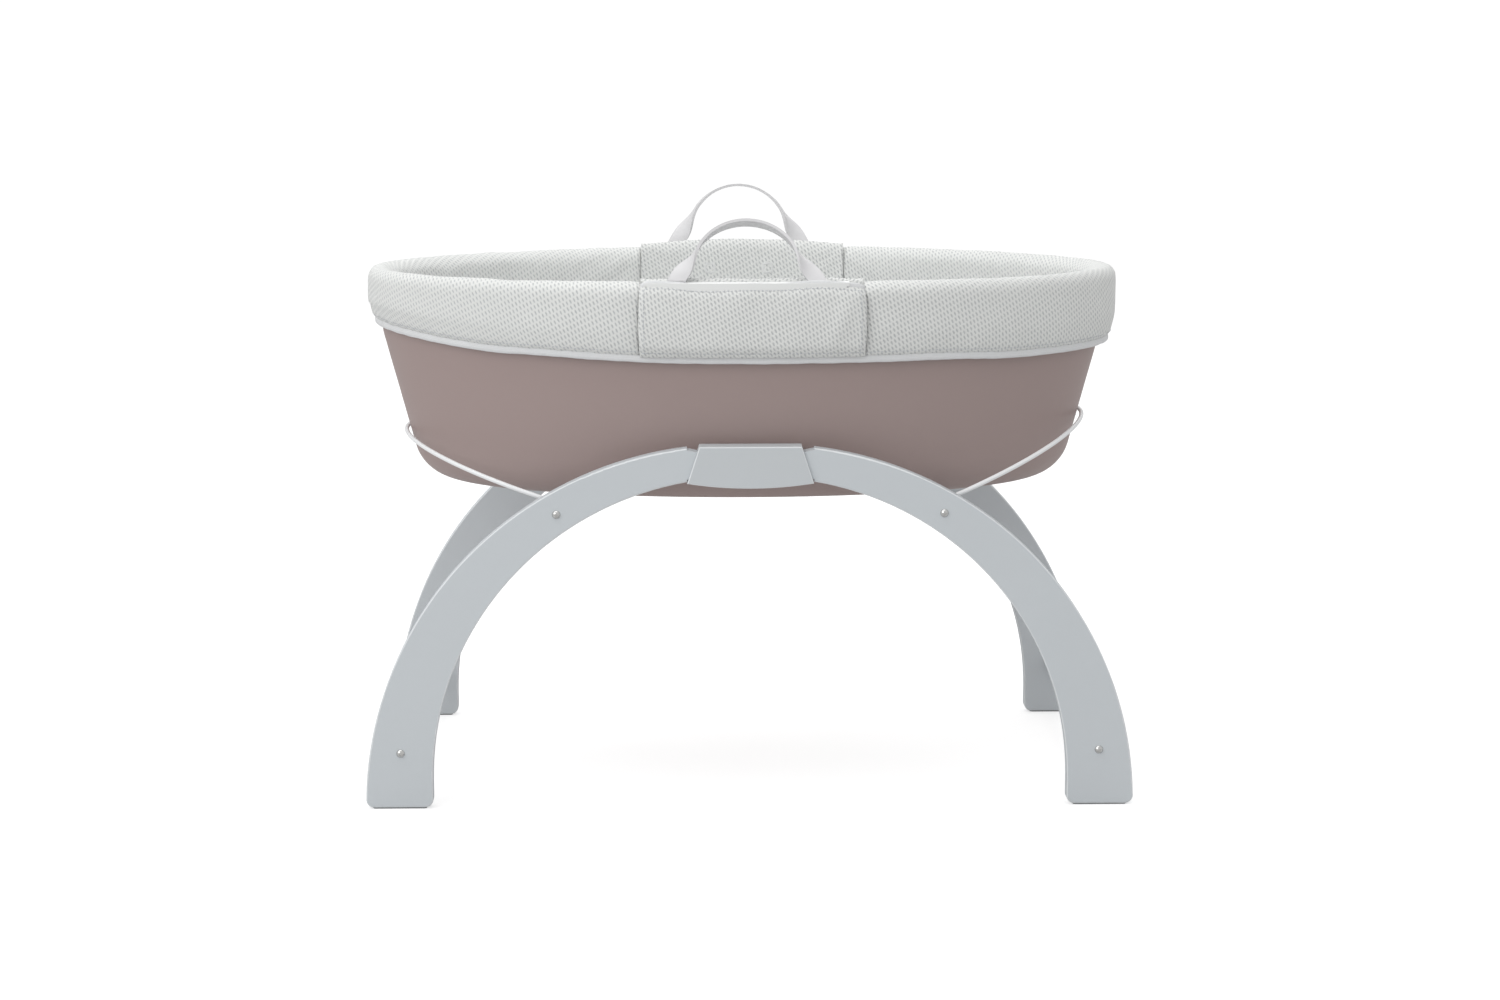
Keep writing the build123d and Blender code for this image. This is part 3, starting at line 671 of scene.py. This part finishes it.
def along_lines(name, lines, maker, values):
    """A piece that a Geometry Nodes tree makes along lines of points."""
    tree = bpy.data.node_groups.get({"stitch_tree": "Stitches",
                                     "piping_tree": "Piping"}[maker.__name__]) or maker()
    verts, edges = [], []
    for points, closed in lines:
        first, count = len(verts), len(points)
        verts += [tuple(p) for p in points]
        edges += [(first + i, first + i + 1) for i in range(count - 1)]
        if closed:
            edges.append((first + count - 1, first))
    mesh = bpy.data.meshes.new(name)
    mesh.from_pydata(verts, edges, [])
    piece = bpy.data.objects.new(name, mesh)
    bpy.context.scene.collection.objects.link(piece)
    nodes = piece.modifiers.new("Nodes", "NODES")
    nodes.node_group = tree
    for item in tree.interface.items_tree:
        if item.in_out == "INPUT" and item.name in values:
            nodes[item.identifier] = values[item.name]
    flat_piece(piece)
    return piece


def stitches(name, lines, material="thread", lift=1.0):
    cloth = bpy.context.scene.bassinet_cloth
    return along_lines(name, lines, stitch_tree, {
        "Pitch": cloth.stitch_pitch, "Length": cloth.stitch_pitch * 0.72,
        "Width": cloth.thread_width * lift, "Material": finish(material)})


def piping(name, lines, radius, material):
    return along_lines(name, lines, piping_tree, {"Radius": radius,
                                                  "Material": finish(material)})


def belongs(piece, body, slot, *nodes):
    """Rides a piece on its body and hides the CAD nodes that it stands for."""
    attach(piece, body)
    if nodes:
        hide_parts(*nodes)
    return piece


# ------------------------------------------------------------------ padded rim
def outer_shape(foot):
    """The rim's outer and top profile from its foot to the inner side, as (out, z)."""
    middle, crest, radius = 0.0006, 0.5703, 0.0152
    arc = [(middle + radius * math.cos(math.radians(a)), crest + radius * math.sin(math.radians(a)))
           for a in range(10, 171, 20)]
    return spread_along([
        (0.0075, foot - 0.001), (0.0112, foot + 0.005), (0.0140, foot + 0.016),
        (0.0159, 0.5 * (foot + 0.560)), (0.0160, 0.558), *arc,
        (-0.0147, 0.5500), (-0.0145, 0.5320), (-0.0128, 0.5225)], 0.0045)


def rim_section(x):
    """Closed section of the rim at x, as (out, z), and how many points show."""
    foot = hem_top(x)
    shown = list(outer_shape(foot))
    hidden = even(shown[-1], (-0.0048, 0.5215), 0.006)
    hidden += even((-0.0048, 0.5215), (-0.0048, 0.5735), 0.012)
    hidden += even((-0.0048, 0.5735), (0.0008, 0.5735), 0.006)
    hidden += even((0.0008, 0.5735), (0.0008, foot), 0.012)
    return np.array(shown + hidden), len(shown)


def rim_cover(side, sign):
    """One padded rim cover, from the front panel round an end to the rear panel."""
    cloth = bpy.context.scene.bassinet_cloth
    gap = 0.0002
    ends = [cloth.front_panel_x + sign * (cloth.panel_half + gap),
            cloth.rear_panel_x + sign * (cloth.panel_half + gap)]
    count = 190
    base, visible = rim_section(sign * 0.2)
    total = len(base)
    grid = np.zeros((count + 1, total, 3))
    held = np.zeros((count + 1, total))
    for i in range(count + 1):
        t = i / count
        middle = angle_at(ends[0], 0) * (2 * t - 1) if sign > 0 else \
            (math.pi - angle_at(ends[0], 0)) * (1 - 2 * t) + math.pi
        x_here = RIM_A * math.cos(middle) + MID_X
        section, shown = rim_section(x_here)
        section = resampled(section, shown, visible, total)
        from_end = min(t, 1 - t) * 1.05
        deep = 0.0022 * math.exp(-(from_end / 0.011) ** 2)
        shallow = 0.0012 * math.exp(-(from_end / 0.005) ** 2)
        for j in range(total):
            out, z = section[j]
            front, back = angle_at(ends[0], out), angle_at(ends[1], out)
            if sign > 0:
                angle = -front + (front + back) * t
            else:
                angle = (2 * math.pi - front) - ((2 * math.pi - front) - back) * t
            seen = j < visible
            share = j / (visible - 1)
            x, y = rim_point(angle, out, z)[:2]
            move = 0.0
            if seen:
                low = math.exp(-(share / 0.10) ** 2)
                gather = 0.0011 * low * ripple(x, y, z * 0.15, 0.0085, 3 + sign)
                gather += 0.0012 * low * max(0, ripple(x, y, 0, 0.03, 11)) * math.sin(share * 9)
                slow = 0.0011 * ripple(x, y, z, 0.055, 7) + 0.0005 * ripple(x, y, z, 0.021, 9)
                edge = smooth(0, 0.05, share) * smooth(0, 0.05, 1 - share)
                pinch = shallow + (deep - shallow) * (1 - float(smooth(0.35, 0.5, share)))
                move = gather + slow * float(edge) - pinch * min(1.0, 4 * share + 0.15)
            nx, nz = normal_of(section, j)
            grid[i, j] = rim_point(angle, out + nx * move, z + nz * move)
            held[i, j] = 0 if seen and 0.06 < share < 0.94 else 1
        if i in (0, count):
            held[i] = 1
    piece = skin(f"{side}_rim_cover", grid, finish("mesh_cloth"), loop_v=True, caps=True)
    if sign < 0:
        for loop in piece.data.uv_layers["cloth"].data:
            loop.uv.x = -loop.uv.x
    inflate(piece, held.ravel(), 3.0, cloth.swell)
    belongs(piece, "basket", "mesh_cloth", f"{side}_rim_roll")


def resampled(section, shown, visible, total):
    """The section with a fixed number of points, so that sections can be joined."""
    def spaced(part, count):
        along = np.concatenate([[0], np.cumsum(np.linalg.norm(np.diff(part, axis=0), axis=1))])
        at = np.linspace(0, along[-1], count)
        return np.stack([np.interp(at, along, part[:, k]) for k in (0, 1)], 1)
    seen = spaced(section[:shown], visible)
    rest = spaced(section[shown - 1:], total - visible + 1)[1:]
    return np.vstack([seen, rest])


def normal_of(section, j):
    """Outward normal of a section at point j, as (out, z)."""
    a, b = section[j - 1], section[(j + 1) % len(section)]
    dx, dz = b[0] - a[0], b[1] - a[1]
    size = math.hypot(dx, dz) or 1.0
    return dz / size, -dx / size


def hem():
    """The elastic binding round the foot of the rim, gathered by its own pull."""
    count = 620
    ring = []
    for i in range(count):
        angle = 2 * math.pi * i / count
        x, y = rim_point(angle, 0, 0)[:2]
        top = hem_top(x)
        tall = 0.0046 + 0.0004 * ripple(x, y, 0, 0.012, 5)
        thick = 0.0033 + 0.0005 * ripple(x, y, 0, 0.007, 2)
        mid_z = top - 0.0040 + 0.0005 * ripple(x, y, 0, 0.02, 8)
        mid_out = 0.0052
        row = []
        for k in range(14):
            a = 2 * math.pi * k / 14
            out = mid_out + thick * math.copysign(abs(math.cos(a)) ** 0.8, math.cos(a))
            z = mid_z + tall * math.copysign(abs(math.sin(a)) ** 0.8, math.sin(a))
            row.append(rim_point(angle, out, z))
        ring.append(row)
    piece = skin("hem_elastic", ring, finish("binding_cloth"), loop_u=True, loop_v=True)
    belongs(piece, "basket", "binding_cloth", "hem_binding")
    return piece


# ------------------------------------------------------------------ middle panels and flaps
def panel_middle(side):
    cloth = bpy.context.scene.bassinet_cloth
    return cloth.front_panel_x if side == "front" else cloth.rear_panel_x


def at_x(x, out, z, sign):
    """A point of the rim's middle at x, on the front (-1) or rear (1)."""
    angle = angle_at(x, out) * sign
    return rim_point(angle, out, z)


def inner_panel(side, sign):
    """Padded inner panel between the two rim covers."""
    cloth = bpy.context.scene.bassinet_cloth
    middle, half = panel_middle(side), cloth.panel_half
    crest = 0.5895 if side == "front" else 0.5955
    face = spread_along([(-0.0128, 0.5225), (-0.0145, 0.532), (-0.0148, 0.55), (-0.0147, 0.568),
                         (-0.0140, crest - 0.010), (-0.0118, crest - 0.003),
                         (-0.0085, crest), (-0.0055, crest - 0.0035), (-0.0048, crest - 0.010)],
                        0.004)
    back = even(face[-1], (-0.0046, 0.5215), 0.012)
    section = np.array(list(face) + back)
    xs = np.linspace(-half, half, 76)
    grid = np.zeros((len(xs), len(section), 3))
    held = np.ones((len(xs), len(section)))
    for i, dx in enumerate(xs):
        from_end = half - abs(dx)
        pinch = 0.55 * math.exp(-(from_end / 0.004) ** 2)
        droop = 0.0025 * smooth(0.55, 1.0, abs(dx) / half)
        if side == "rear":
            droop = 0.0065 * (dx / half) ** 2
        for j, (out, z) in enumerate(section):
            nx, nz = normal_of(section, j)
            x = middle + dx
            seen = j < len(face)
            share = j / (len(face) - 1)
            move = -0.0022 * pinch if seen else 0.0
            if seen:
                move += 0.0007 * ripple(x, z, 0, 0.05, 21 + sign) * (1 - pinch)
            up = droop * smooth(0.55, 0.6, z)
            grid[i, j] = at_x(x, out + nx * move, z - up + nz * move, sign)
            held[i, j] = 0 if seen and 0.05 < share < 0.95 and 0 < i < len(xs) - 1 else 1
    piece = skin(f"{side}_inner_panel", grid, finish("mesh_cloth"), loop_v=True, caps=True)
    inflate(piece, held.ravel(), 2.0, 0.0012, frames=12)
    belongs(piece, "basket", "mesh_cloth", f"{side}_rim_panel")


def flap_surface(dx, v, half):
    """(out, z) of a flap's outer face, dx from its middle and v from 0 low to 1 high."""
    low, high = HEM_HIGH.z + HEM_LIFT - 0.001, 0.5842
    sag = 0.0015 * math.sin(4.2 * dx / half - 0.6) + 0.0009 * math.sin(9.0 * dx / half + 2.4)
    sag -= 0.0030 * math.exp(-((half - abs(dx)) / 0.0045) ** 2)
    z = low + (high + sag * v * v - low) * v
    belly = 0.0175 + 0.0048 * math.sin(math.pi * min(1.0, v * 1.02)) ** 0.8
    belly -= 0.0052 * (1 - smooth(0, 0.16, v)) + 0.0042 * smooth(0.86, 1.0, v)
    belly -= 0.0024 * bump_at(dx, 0.012, 0.026) * math.sin(math.pi * v)
    belly -= 0.0012 * bump_at(dx, -0.075, 0.018) * math.sin(math.pi * v)
    belly += 0.0020 * bump_at(dx, half - 0.012 - 0.030 * (1 - v), 0.011) * math.sin(math.pi * v)
    belly -= 0.0018 * math.exp(-((half - abs(dx)) / 0.0030) ** 2)
    return float(belly), float(z)


def flap(side, sign):
    """Outer mesh flap that hangs over the handle housing, with its bound upper edge."""
    cloth = bpy.context.scene.bassinet_cloth
    middle, half = panel_middle(side), cloth.panel_half
    nx, nz, thick = 100, 30, 0.0028
    outer = np.zeros((nx + 1, nz + 1, 3))
    inner = np.zeros_like(outer)
    for i in range(nx + 1):
        dx = half * (2 * i / nx - 1)
        for j in range(nz + 1):
            v = j / nz
            out, z = flap_surface(dx, v, half)
            x = middle + dx * (1.008 + 0.012 * math.sin(math.pi * v))
            out += 0.0006 * ripple(x, z, 0, 0.03, 31 + sign)
            if v < 0.12:
                out += 0.0009 * (1 - v / 0.12) * ripple(x, 0, 0, 0.008, 33)
            outer[i, j] = at_x(x, out, z, sign)
            inner[i, j] = at_x(x, out - thick, z, sign)
    grid = np.concatenate([outer, inner[:, ::-1]], 1)
    piece = skin(f"{side}_flap_cover", grid, finish("mesh_cloth"), loop_v=True, caps=True)
    belongs(piece, "basket", "mesh_cloth", f"{side}_flap")
    rows = []
    for i in range(nx + 1):
        dx = half * (2 * i / nx - 1)
        out, z = flap_surface(dx, 1.0, half)
        x = middle + dx
        sag = 0.0006 * ripple(x, 0, 0, 0.02, 41)
        row = []
        for k in range(12):
            a = 2 * math.pi * k / 12
            thick = 0.0019 if math.cos(a) > 0 else 0.0034
            row.append(at_x(x, out - 0.0004 + thick * math.cos(a),
                            z - 0.0022 + sag + 0.0042 * math.sin(a), sign))
        rows.append(row)
    binding = skin(f"{side}_flap_binding", rows, finish("binding_cloth"), loop_v=True, caps=True)
    belongs(binding, "basket", "binding_cloth")


def wadding(side, sign):
    """The padding under a flap, below and beside the handle housing."""
    cloth = bpy.context.scene.bassinet_cloth
    middle, half = panel_middle(side), cloth.panel_half - 0.0015
    xs = np.linspace(-half, half, 60)
    grid = []
    for dx in xs:
        x = middle + dx
        inside = PLATE_LOW.x - 0.0005 < x < PLATE_HIGH.x + 0.0005
        high = 0.5140 if inside else 0.5790
        row = []
        for out, z in ((0.0010, 0.503), (0.0095, 0.503), (0.0125, 0.5065),
                       (0.0138, 0.5 * (0.503 + high)), (0.0125, high - 0.0035), (0.0095, high),
                       (0.0010, high), (0.0008, 0.5 * (0.503 + high))):
            row.append(at_x(x, out, z, sign))
        grid.append(row)
    piece = skin(f"{side}_flap_wadding", grid, finish("wadding"), loop_v=True, caps=True)
    belongs(piece, "basket", "wadding", f"{side}_panel_backing")


def patch_pair(side, sign):
    """The two small welded squares on an inner panel."""
    low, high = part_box(f"{side}_lining_patches")
    mid_z, mid_x = (low.z + high.z) / 2, (low.x + high.x) / 2
    size = (high.z - low.z) / 2
    spread = (high.x - low.x) / 2 - size
    bm = bmesh.new()
    for centre in (mid_x - spread, mid_x + spread):
        rings = []
        for shrink, out in ((1.0, -0.0150), (1.0, -0.0157), (0.93, -0.0163), (0.62, -0.0163),
                            (0.55, -0.0158), (0.2, -0.0158)):
            ring = []
            for k in range(32):
                a = 2 * math.pi * (k + 0.5) / 32
                cx = math.copysign(abs(math.cos(a)) ** 0.45, math.cos(a)) * size * shrink
                cz = math.copysign(abs(math.sin(a)) ** 0.45, math.sin(a)) * size * shrink
                ring.append(bm.verts.new(at_x(centre + cx, out, mid_z + cz, sign)))
            rings.append(ring)
        for a, b in zip(rings, rings[1:]):
            for k in range(32):
                m = (k + 1) % 32
                bm.faces.new((a[k], a[m], b[m], b[k]))
        bm.faces.new(rings[-1])
        bm.faces.new(rings[0])
    bmesh.ops.recalc_face_normals(bm, faces=bm.faces)
    mesh = bpy.data.meshes.new(f"{side}_patches")
    bm.to_mesh(mesh)
    bm.free()
    piece = new_piece(f"{side}_patches", mesh, finish("patch_plastic"))
    belongs(piece, "basket", "patch_plastic", f"{side}_lining_patches")


# ------------------------------------------------------------------ lining and mattress
def bowl_profile(z_top, pull):
    """Radius and height down the inside of the lining, read from the CAD lining."""
    points = coords(frame["nodes"]["inner_lining"].data)
    dx = (points[:, 0] - MID_X)
    ratio = (LINING_HIGH.y - LINING_LOW.y) / (LINING_HIGH.x - LINING_LOW.x)
    radius = np.sqrt(dx ** 2 + (points[:, 1] / ratio) ** 2)
    outer = []
    for z in np.arange(LINING_LOW.z, z_top, 0.006):
        near = np.abs(points[:, 2] - z) < 0.004
        if near.any():
            outer.append((radius[near].max() - pull, z + 0.0004))
    outer.append((radius[points[:, 2] > LINING_HIGH.z - 0.002].max() - pull, z_top))
    return outer, ratio


def lining():
    """Thin cloth lining of the tub, a little loose on its walls."""
    thick = 0.0016
    profile, ratio = bowl_profile(LINING_HIGH.z - 0.0005, 0.0004)
    first = profile[0][0]
    floor = [(first * k / 14, LINING_LOW.z + 0.0004) for k in range(1, 14)]
    line = np.array(floor + profile)
    line[:, 0] = np.maximum.accumulate(line[:, 0])
    smooth_line = spread_along(line[::2].tolist() + [line[-1].tolist()], 0.008)
    count = 160
    grid = np.zeros((count, 2 * len(smooth_line), 3))
    for i in range(count):
        a = 2 * math.pi * i / count
        c, s = math.cos(a), math.sin(a)
        for j, (r, z) in enumerate(smooth_line):
            wall = float(smooth(0.38, 0.42, z)) * float(1 - smooth(0.495, 0.518, z))
            loose = 0.0011 * wall * (0.5 + ripple(c, s, z * 2, 0.13, 51))
            grid[i, j] = (r * c + MID_X, r * ratio * s, z)
            grid[i, 2 * len(smooth_line) - 1 - j] = (
                (r - thick * smooth(0, 0.1, z - LINING_LOW.z) - loose) * c + MID_X,
                (r * ratio - thick - loose) * s if r > 0.05 else r * ratio * s, z + thick)
    piece = skin("basket_lining", grid, finish("lining_cloth"), loop_u=True)
    bm = bmesh.new()
    bm.from_mesh(piece.data)
    bmesh.ops.holes_fill(bm, edges=[e for e in bm.edges if e.is_boundary], sides=0)
    bmesh.ops.recalc_face_normals(bm, faces=bm.faces)
    bm.to_mesh(piece.data)
    bm.free()
    piece.data.polygons.foreach_set("use_smooth", [True] * len(piece.data.polygons))
    belongs(piece, "basket", "lining_cloth", "inner_lining")


def pad_outline(shrink, count=120):
    """The mattress's oval outline."""
    a = (PAD_HIGH.x - PAD_LOW.x) / 2 - shrink
    b = (PAD_HIGH.y - PAD_LOW.y) / 2 - shrink
    mid = (PAD_HIGH.x + PAD_LOW.x) / 2
    return [(mid + a * math.cos(t), b * math.sin(t))
            for t in np.linspace(0, 2 * math.pi, count, endpoint=False)]


def mattress():
    """Quilted mattress with a piped edge."""
    cloth = bpy.context.scene.bassinet_cloth
    tall = PAD_HIGH.z - PAD_LOW.z
    bm = bmesh.new()
    rings = []
    for shrink, z in ((0.010, 0.002), (0.004, 0.006), (0.003, 0.5 * tall), (0.004, tall - 0.008),
                      (0.010, tall - 0.004)):
        rings.append([bm.verts.new((x, y, PAD_LOW.z + z)) for x, y in pad_outline(shrink)])
    for a, b in zip(rings, rings[1:]):
        for k in range(len(a)):
            m = (k + 1) % len(a)
            bm.faces.new((a[k], a[m], b[m], b[k]))
    bm.faces.new(rings[0])
    bm.faces.new(rings[-1])
    bmesh.ops.recalc_face_normals(bm, faces=bm.faces)
    mesh = bpy.data.meshes.new("mattress_pad")
    bm.to_mesh(mesh)
    bm.free()
    piece = new_piece("mattress_pad", mesh, finish("mattress_cloth"))
    remesh = piece.modifiers.new("Remesh", "REMESH")
    remesh.mode, remesh.voxel_size, remesh.use_smooth_shade = "VOXEL", 0.006, True
    flat_piece(piece)
    start = coords(piece.data)
    held = (start[:, 2] < PAD_LOW.z + 0.006).astype(float)
    inflate(piece, held, 4.0, 0.006)
    p = coords(piece.data)
    p[:, 2] = np.maximum(p[:, 2], PAD_LOW.z)
    a, b = (PAD_HIGH.x - PAD_LOW.x) / 2, (PAD_HIGH.y - PAD_LOW.y) / 2
    mid = (PAD_HIGH.x + PAD_LOW.x) / 2
    inside = 1 - np.sqrt(((p[:, 0] - mid) / a) ** 2 + (p[:, 1] / b) ** 2)
    on_top = smooth(PAD_HIGH.z - 0.014, PAD_HIGH.z - 0.006, start[:, 2]) * smooth(0.02, 0.12,
                                                                                  inside)
    q = cloth.quilt
    channel = np.zeros(len(p))
    for across in ((p[:, 0] - mid) + p[:, 1], (p[:, 0] - mid) - p[:, 1]):
        off = np.abs((across / (q * math.sqrt(2)) + 0.5) % 1 - 0.5) * q
        channel = np.maximum(channel, np.exp(-(off / 0.0042) ** 2))
    p[:, 2] += on_top * (0.0022 - 0.0048 * channel)
    set_coords(piece.data, p)
    piece.modifiers.new("Soften", "SUBSURF").levels = 1
    piece.modifiers["Soften"].render_levels = 1
    flat_piece(piece)
    piece.data.polygons.foreach_set("use_smooth", [True] * len(piece.data.polygons))
    belongs(piece, "mattress", "mattress_cloth", "mattress")
    edge_z = PAD_HIGH.z - 0.0085
    ring = [(x, y, edge_z) for x, y in pad_outline(0.0005, 200)]
    belongs(piping("mattress_piping", [(ring, True)], 0.0022, "binding_cloth"), "mattress",
            "mattress_cloth")


# ------------------------------------------------------------------ sewing
def seam_rows():
    """Lines of stitching on the basket's cloth."""
    cloth = bpy.context.scene.bassinet_cloth
    rows = []
    ring = []
    for i in range(900):
        angle = 2 * math.pi * i / 900
        x = rim_point(angle, 0, 0)[0]
        top = hem_top(x)
        # The grey thread of this row also stands for the shade line above the hem: partly painted
        # shade.
        ring.append(rim_point(angle, 0.0111, top + 0.0035))
    rows.append((ring, True))
    for side, sign in SIDES:
        middle, half = panel_middle(side), cloth.panel_half
        edge = []
        for i in range(120):
            dx = (half - 0.003) * (2 * i / 119 - 1)
            out, z = flap_surface(dx, 0.925, half)
            edge.append(at_x(middle + dx, out + 0.0004, z, sign))
        rows.append((edge, False))
        low = []
        for i in range(120):
            dx = (half - 0.003) * (2 * i / 119 - 1)
            out, z = flap_surface(dx, 0.06, half)
            low.append(at_x(middle + dx, out + 0.0006, z, sign))
        rows.append((low, False))
        for edge_sign in (-1, 1):
            line = []
            for j in range(40):
                v = 0.06 + 0.86 * j / 39
                dx = edge_sign * (half - 0.0055)
                out, z = flap_surface(dx, v, half)
                x = middle + dx * (1.008 + 0.012 * math.sin(math.pi * v))
                line.append(at_x(x, out + 0.0003, z, sign))
            rows.append((line, False))
    return rows


# ------------------------------------------------------------------ operators
class BASSINET_OT_hard_parts(bpy.types.Operator):
    """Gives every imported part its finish"""
    bl_idname = "bassinet.hard_parts"
    bl_label = "Finish Hard Parts"

    def execute(self, context):
        slots = {s["node"]: s["material_slot"] for s in frame["record"]["subparts"]}
        for node, piece in frame["nodes"].items():
            piece.data.materials.clear()
            piece.data.materials.append(finish(slots[node]))
        return {"FINISHED"}


class BASSINET_OT_rim_covers(bpy.types.Operator):
    """Makes the two padded mesh covers of the rim"""
    bl_idname = "bassinet.rim_covers"
    bl_label = "Make Rim Covers"

    def execute(self, context):
        for side, sign in (("left", -1), ("right", 1)):
            rim_cover(side, sign)
        return {"FINISHED"}


class BASSINET_OT_panels(bpy.types.Operator):
    """Makes the inner panels and their welded patches"""
    bl_idname = "bassinet.panels"
    bl_label = "Make Inner Panels"

    def execute(self, context):
        for side, sign in SIDES:
            inner_panel(side, sign)
            patch_pair(side, sign)
        return {"FINISHED"}


class BASSINET_OT_flaps(bpy.types.Operator):
    """Makes the outer flaps, their bindings and the wadding under them"""
    bl_idname = "bassinet.flaps"
    bl_label = "Make Flaps"

    def execute(self, context):
        for side, sign in SIDES:
            wadding(side, sign)
            flap(side, sign)
        return {"FINISHED"}


class BASSINET_OT_hem(bpy.types.Operator):
    """Makes the elastic hem of the rim"""
    bl_idname = "bassinet.hem"
    bl_label = "Make Hem"

    def execute(self, context):
        piece = hem()
        return {"FINISHED"}


class BASSINET_OT_lining(bpy.types.Operator):
    """Makes the lining of the tub"""
    bl_idname = "bassinet.lining"
    bl_label = "Make Lining"

    def execute(self, context):
        lining()
        return {"FINISHED"}


class BASSINET_OT_mattress(bpy.types.Operator):
    """Makes the quilted mattress"""
    bl_idname = "bassinet.mattress"
    bl_label = "Make Mattress"

    def execute(self, context):
        mattress()
        return {"FINISHED"}


class BASSINET_OT_stitching(bpy.types.Operator):
    """Sews the rows of stitches on the basket's cloth"""
    bl_idname = "bassinet.stitching"
    bl_label = "Sew Stitches"

    def execute(self, context):
        belongs(stitches("basket_stitches", seam_rows()), "basket", "binding_cloth")
        return {"FINISHED"}


class BASSINET_OT_stage(bpy.types.Operator):
    """Sets the camera, the lights and the floor"""
    bl_idname = "bassinet.stage"
    bl_label = "Set Stage"

    def execute(self, context):
        stage = context.scene.bassinet_stage
        scene = context.scene
        camera = bpy.data.objects.new("camera", bpy.data.cameras.new("camera"))
        camera.data.lens, camera.data.sensor_width = stage.lens, 36.0
        look = Vector((math.sin(stage.yaw) * math.cos(stage.pitch),
                       math.cos(stage.yaw) * math.cos(stage.pitch), -math.sin(stage.pitch)))
        camera.location = Vector(stage.target) - look * stage.distance
        camera.rotation_euler = look.to_track_quat("-Z", "Y").to_euler()
        camera.data.clip_end = 200.0
        scene.collection.objects.link(camera)
        scene.camera = camera
        world = scene.world or bpy.data.worlds.new("studio")
        scene.world = world
        world.use_nodes = True
        back = world.node_tree.nodes["Background"]
        sky = Tree(world.node_tree)
        seen = sky.add("ShaderNodeLightPath").outputs["Is Camera Ray"]
        back.inputs["Color"].default_value = (1.0, 1.0, 1.0, 1.0)
        sky.put(sky.ramp(seen, 0.0, 1.0, stage.sky, 1.05), back.inputs["Strength"])
        self.light(scene, "top", (-0.3, 0.1, 3.0), (3.0, 2.6), 30.0)
        self.light(scene, "key", (-2.8, -2.6, 2.4), (3.0, 3.0), 45.0)
        self.light(scene, "back", (0.8, 3.2, 2.2), (3.0, 2.0), 14.0)
        self.floor(scene)
        scene.view_settings.view_transform = "Standard"
        return {"FINISHED"}

    def light(self, scene, name, place, size, power):
        data = bpy.data.lights.new(name, "AREA")
        data.shape, data.size, data.size_y, data.energy = "RECTANGLE", size[0], size[1], power
        lamp = bpy.data.objects.new(name, data)
        lamp.location = place
        aim = Vector((0, 0, 0.35)) - Vector(place)
        lamp.rotation_euler = aim.to_track_quat("-Z", "Y").to_euler()
        scene.collection.objects.link(lamp)

    def floor(self, scene):
        bm = bmesh.new()
        bmesh.ops.create_grid(bm, x_segments=8, y_segments=8, size=30.0)
        mesh = bpy.data.meshes.new("floor")
        bm.to_mesh(mesh)
        bm.free()
        f = Finish("floor", 0.9)
        at = f.place()
        shade = f.group("Mottle", {"Vector": at, "Color": (0.62, 0.62, 0.62, 1.0),
                                   "Amount": 0.01, "Scale": 1.5})["Color"]
        seen = f.add("ShaderNodeLightPath").outputs["Is Camera Ray"]
        f.set({"Base Color": shade, "Emission Color": (1, 1, 1, 1),
               "Emission Strength": f.math("MULTIPLY", seen, 0.57),
               "Specular IOR Level": 0.0})
        floor = bpy.data.objects.new("floor", mesh)
        mesh.materials.append(f.material)
        scene.collection.objects.link(floor)


OPERATORS = (BASSINET_OT_hard_parts, BASSINET_OT_rim_covers, BASSINET_OT_panels,
             BASSINET_OT_flaps, BASSINET_OT_hem, BASSINET_OT_lining, BASSINET_OT_mattress,
             BASSINET_OT_stitching, BASSINET_OT_stage)


class BASSINET_PT_panel(bpy.types.Panel):
    """The bassinet's settings and steps"""
    bl_idname = "BASSINET_PT_panel"
    bl_label = "Bassinet"
    bl_space_type = "VIEW_3D"
    bl_region_type = "UI"
    bl_category = "Bassinet"

    def draw(self, context):
        for settings in (context.scene.bassinet_cloth, context.scene.bassinet_hard,
                         context.scene.bassinet_stage):
            for key in settings.bl_rna.properties.keys():
                if key not in ("rna_type", "name"):
                    self.layout.prop(settings, key)
        for operator in OPERATORS:
            self.layout.operator(operator.bl_idname)


CLASSES = (BASSINET_PG_cloth, BASSINET_PG_hard, BASSINET_PG_stage, *OPERATORS,
           BASSINET_PT_panel)


def register():
    for each in CLASSES:
        bpy.utils.register_class(each)
    bpy.types.Scene.bassinet_cloth = PointerProperty(type=BASSINET_PG_cloth)
    bpy.types.Scene.bassinet_hard = PointerProperty(type=BASSINET_PG_hard)
    bpy.types.Scene.bassinet_stage = PointerProperty(type=BASSINET_PG_stage)


def unregister():
    del bpy.types.Scene.bassinet_stage
    del bpy.types.Scene.bassinet_hard
    del bpy.types.Scene.bassinet_cloth
    for each in reversed(CLASSES):
        bpy.utils.unregister_class(each)


def main():
    register()
    bpy.ops.bassinet.stage()
    bpy.ops.bassinet.hard_parts()
    bpy.ops.bassinet.rim_covers()
    bpy.ops.bassinet.panels()
    bpy.ops.bassinet.flaps()
    bpy.ops.bassinet.hem()
    bpy.ops.bassinet.lining()
    bpy.ops.bassinet.mattress()
    bpy.ops.bassinet.stitching()


if __name__ == "__main__":
    main()
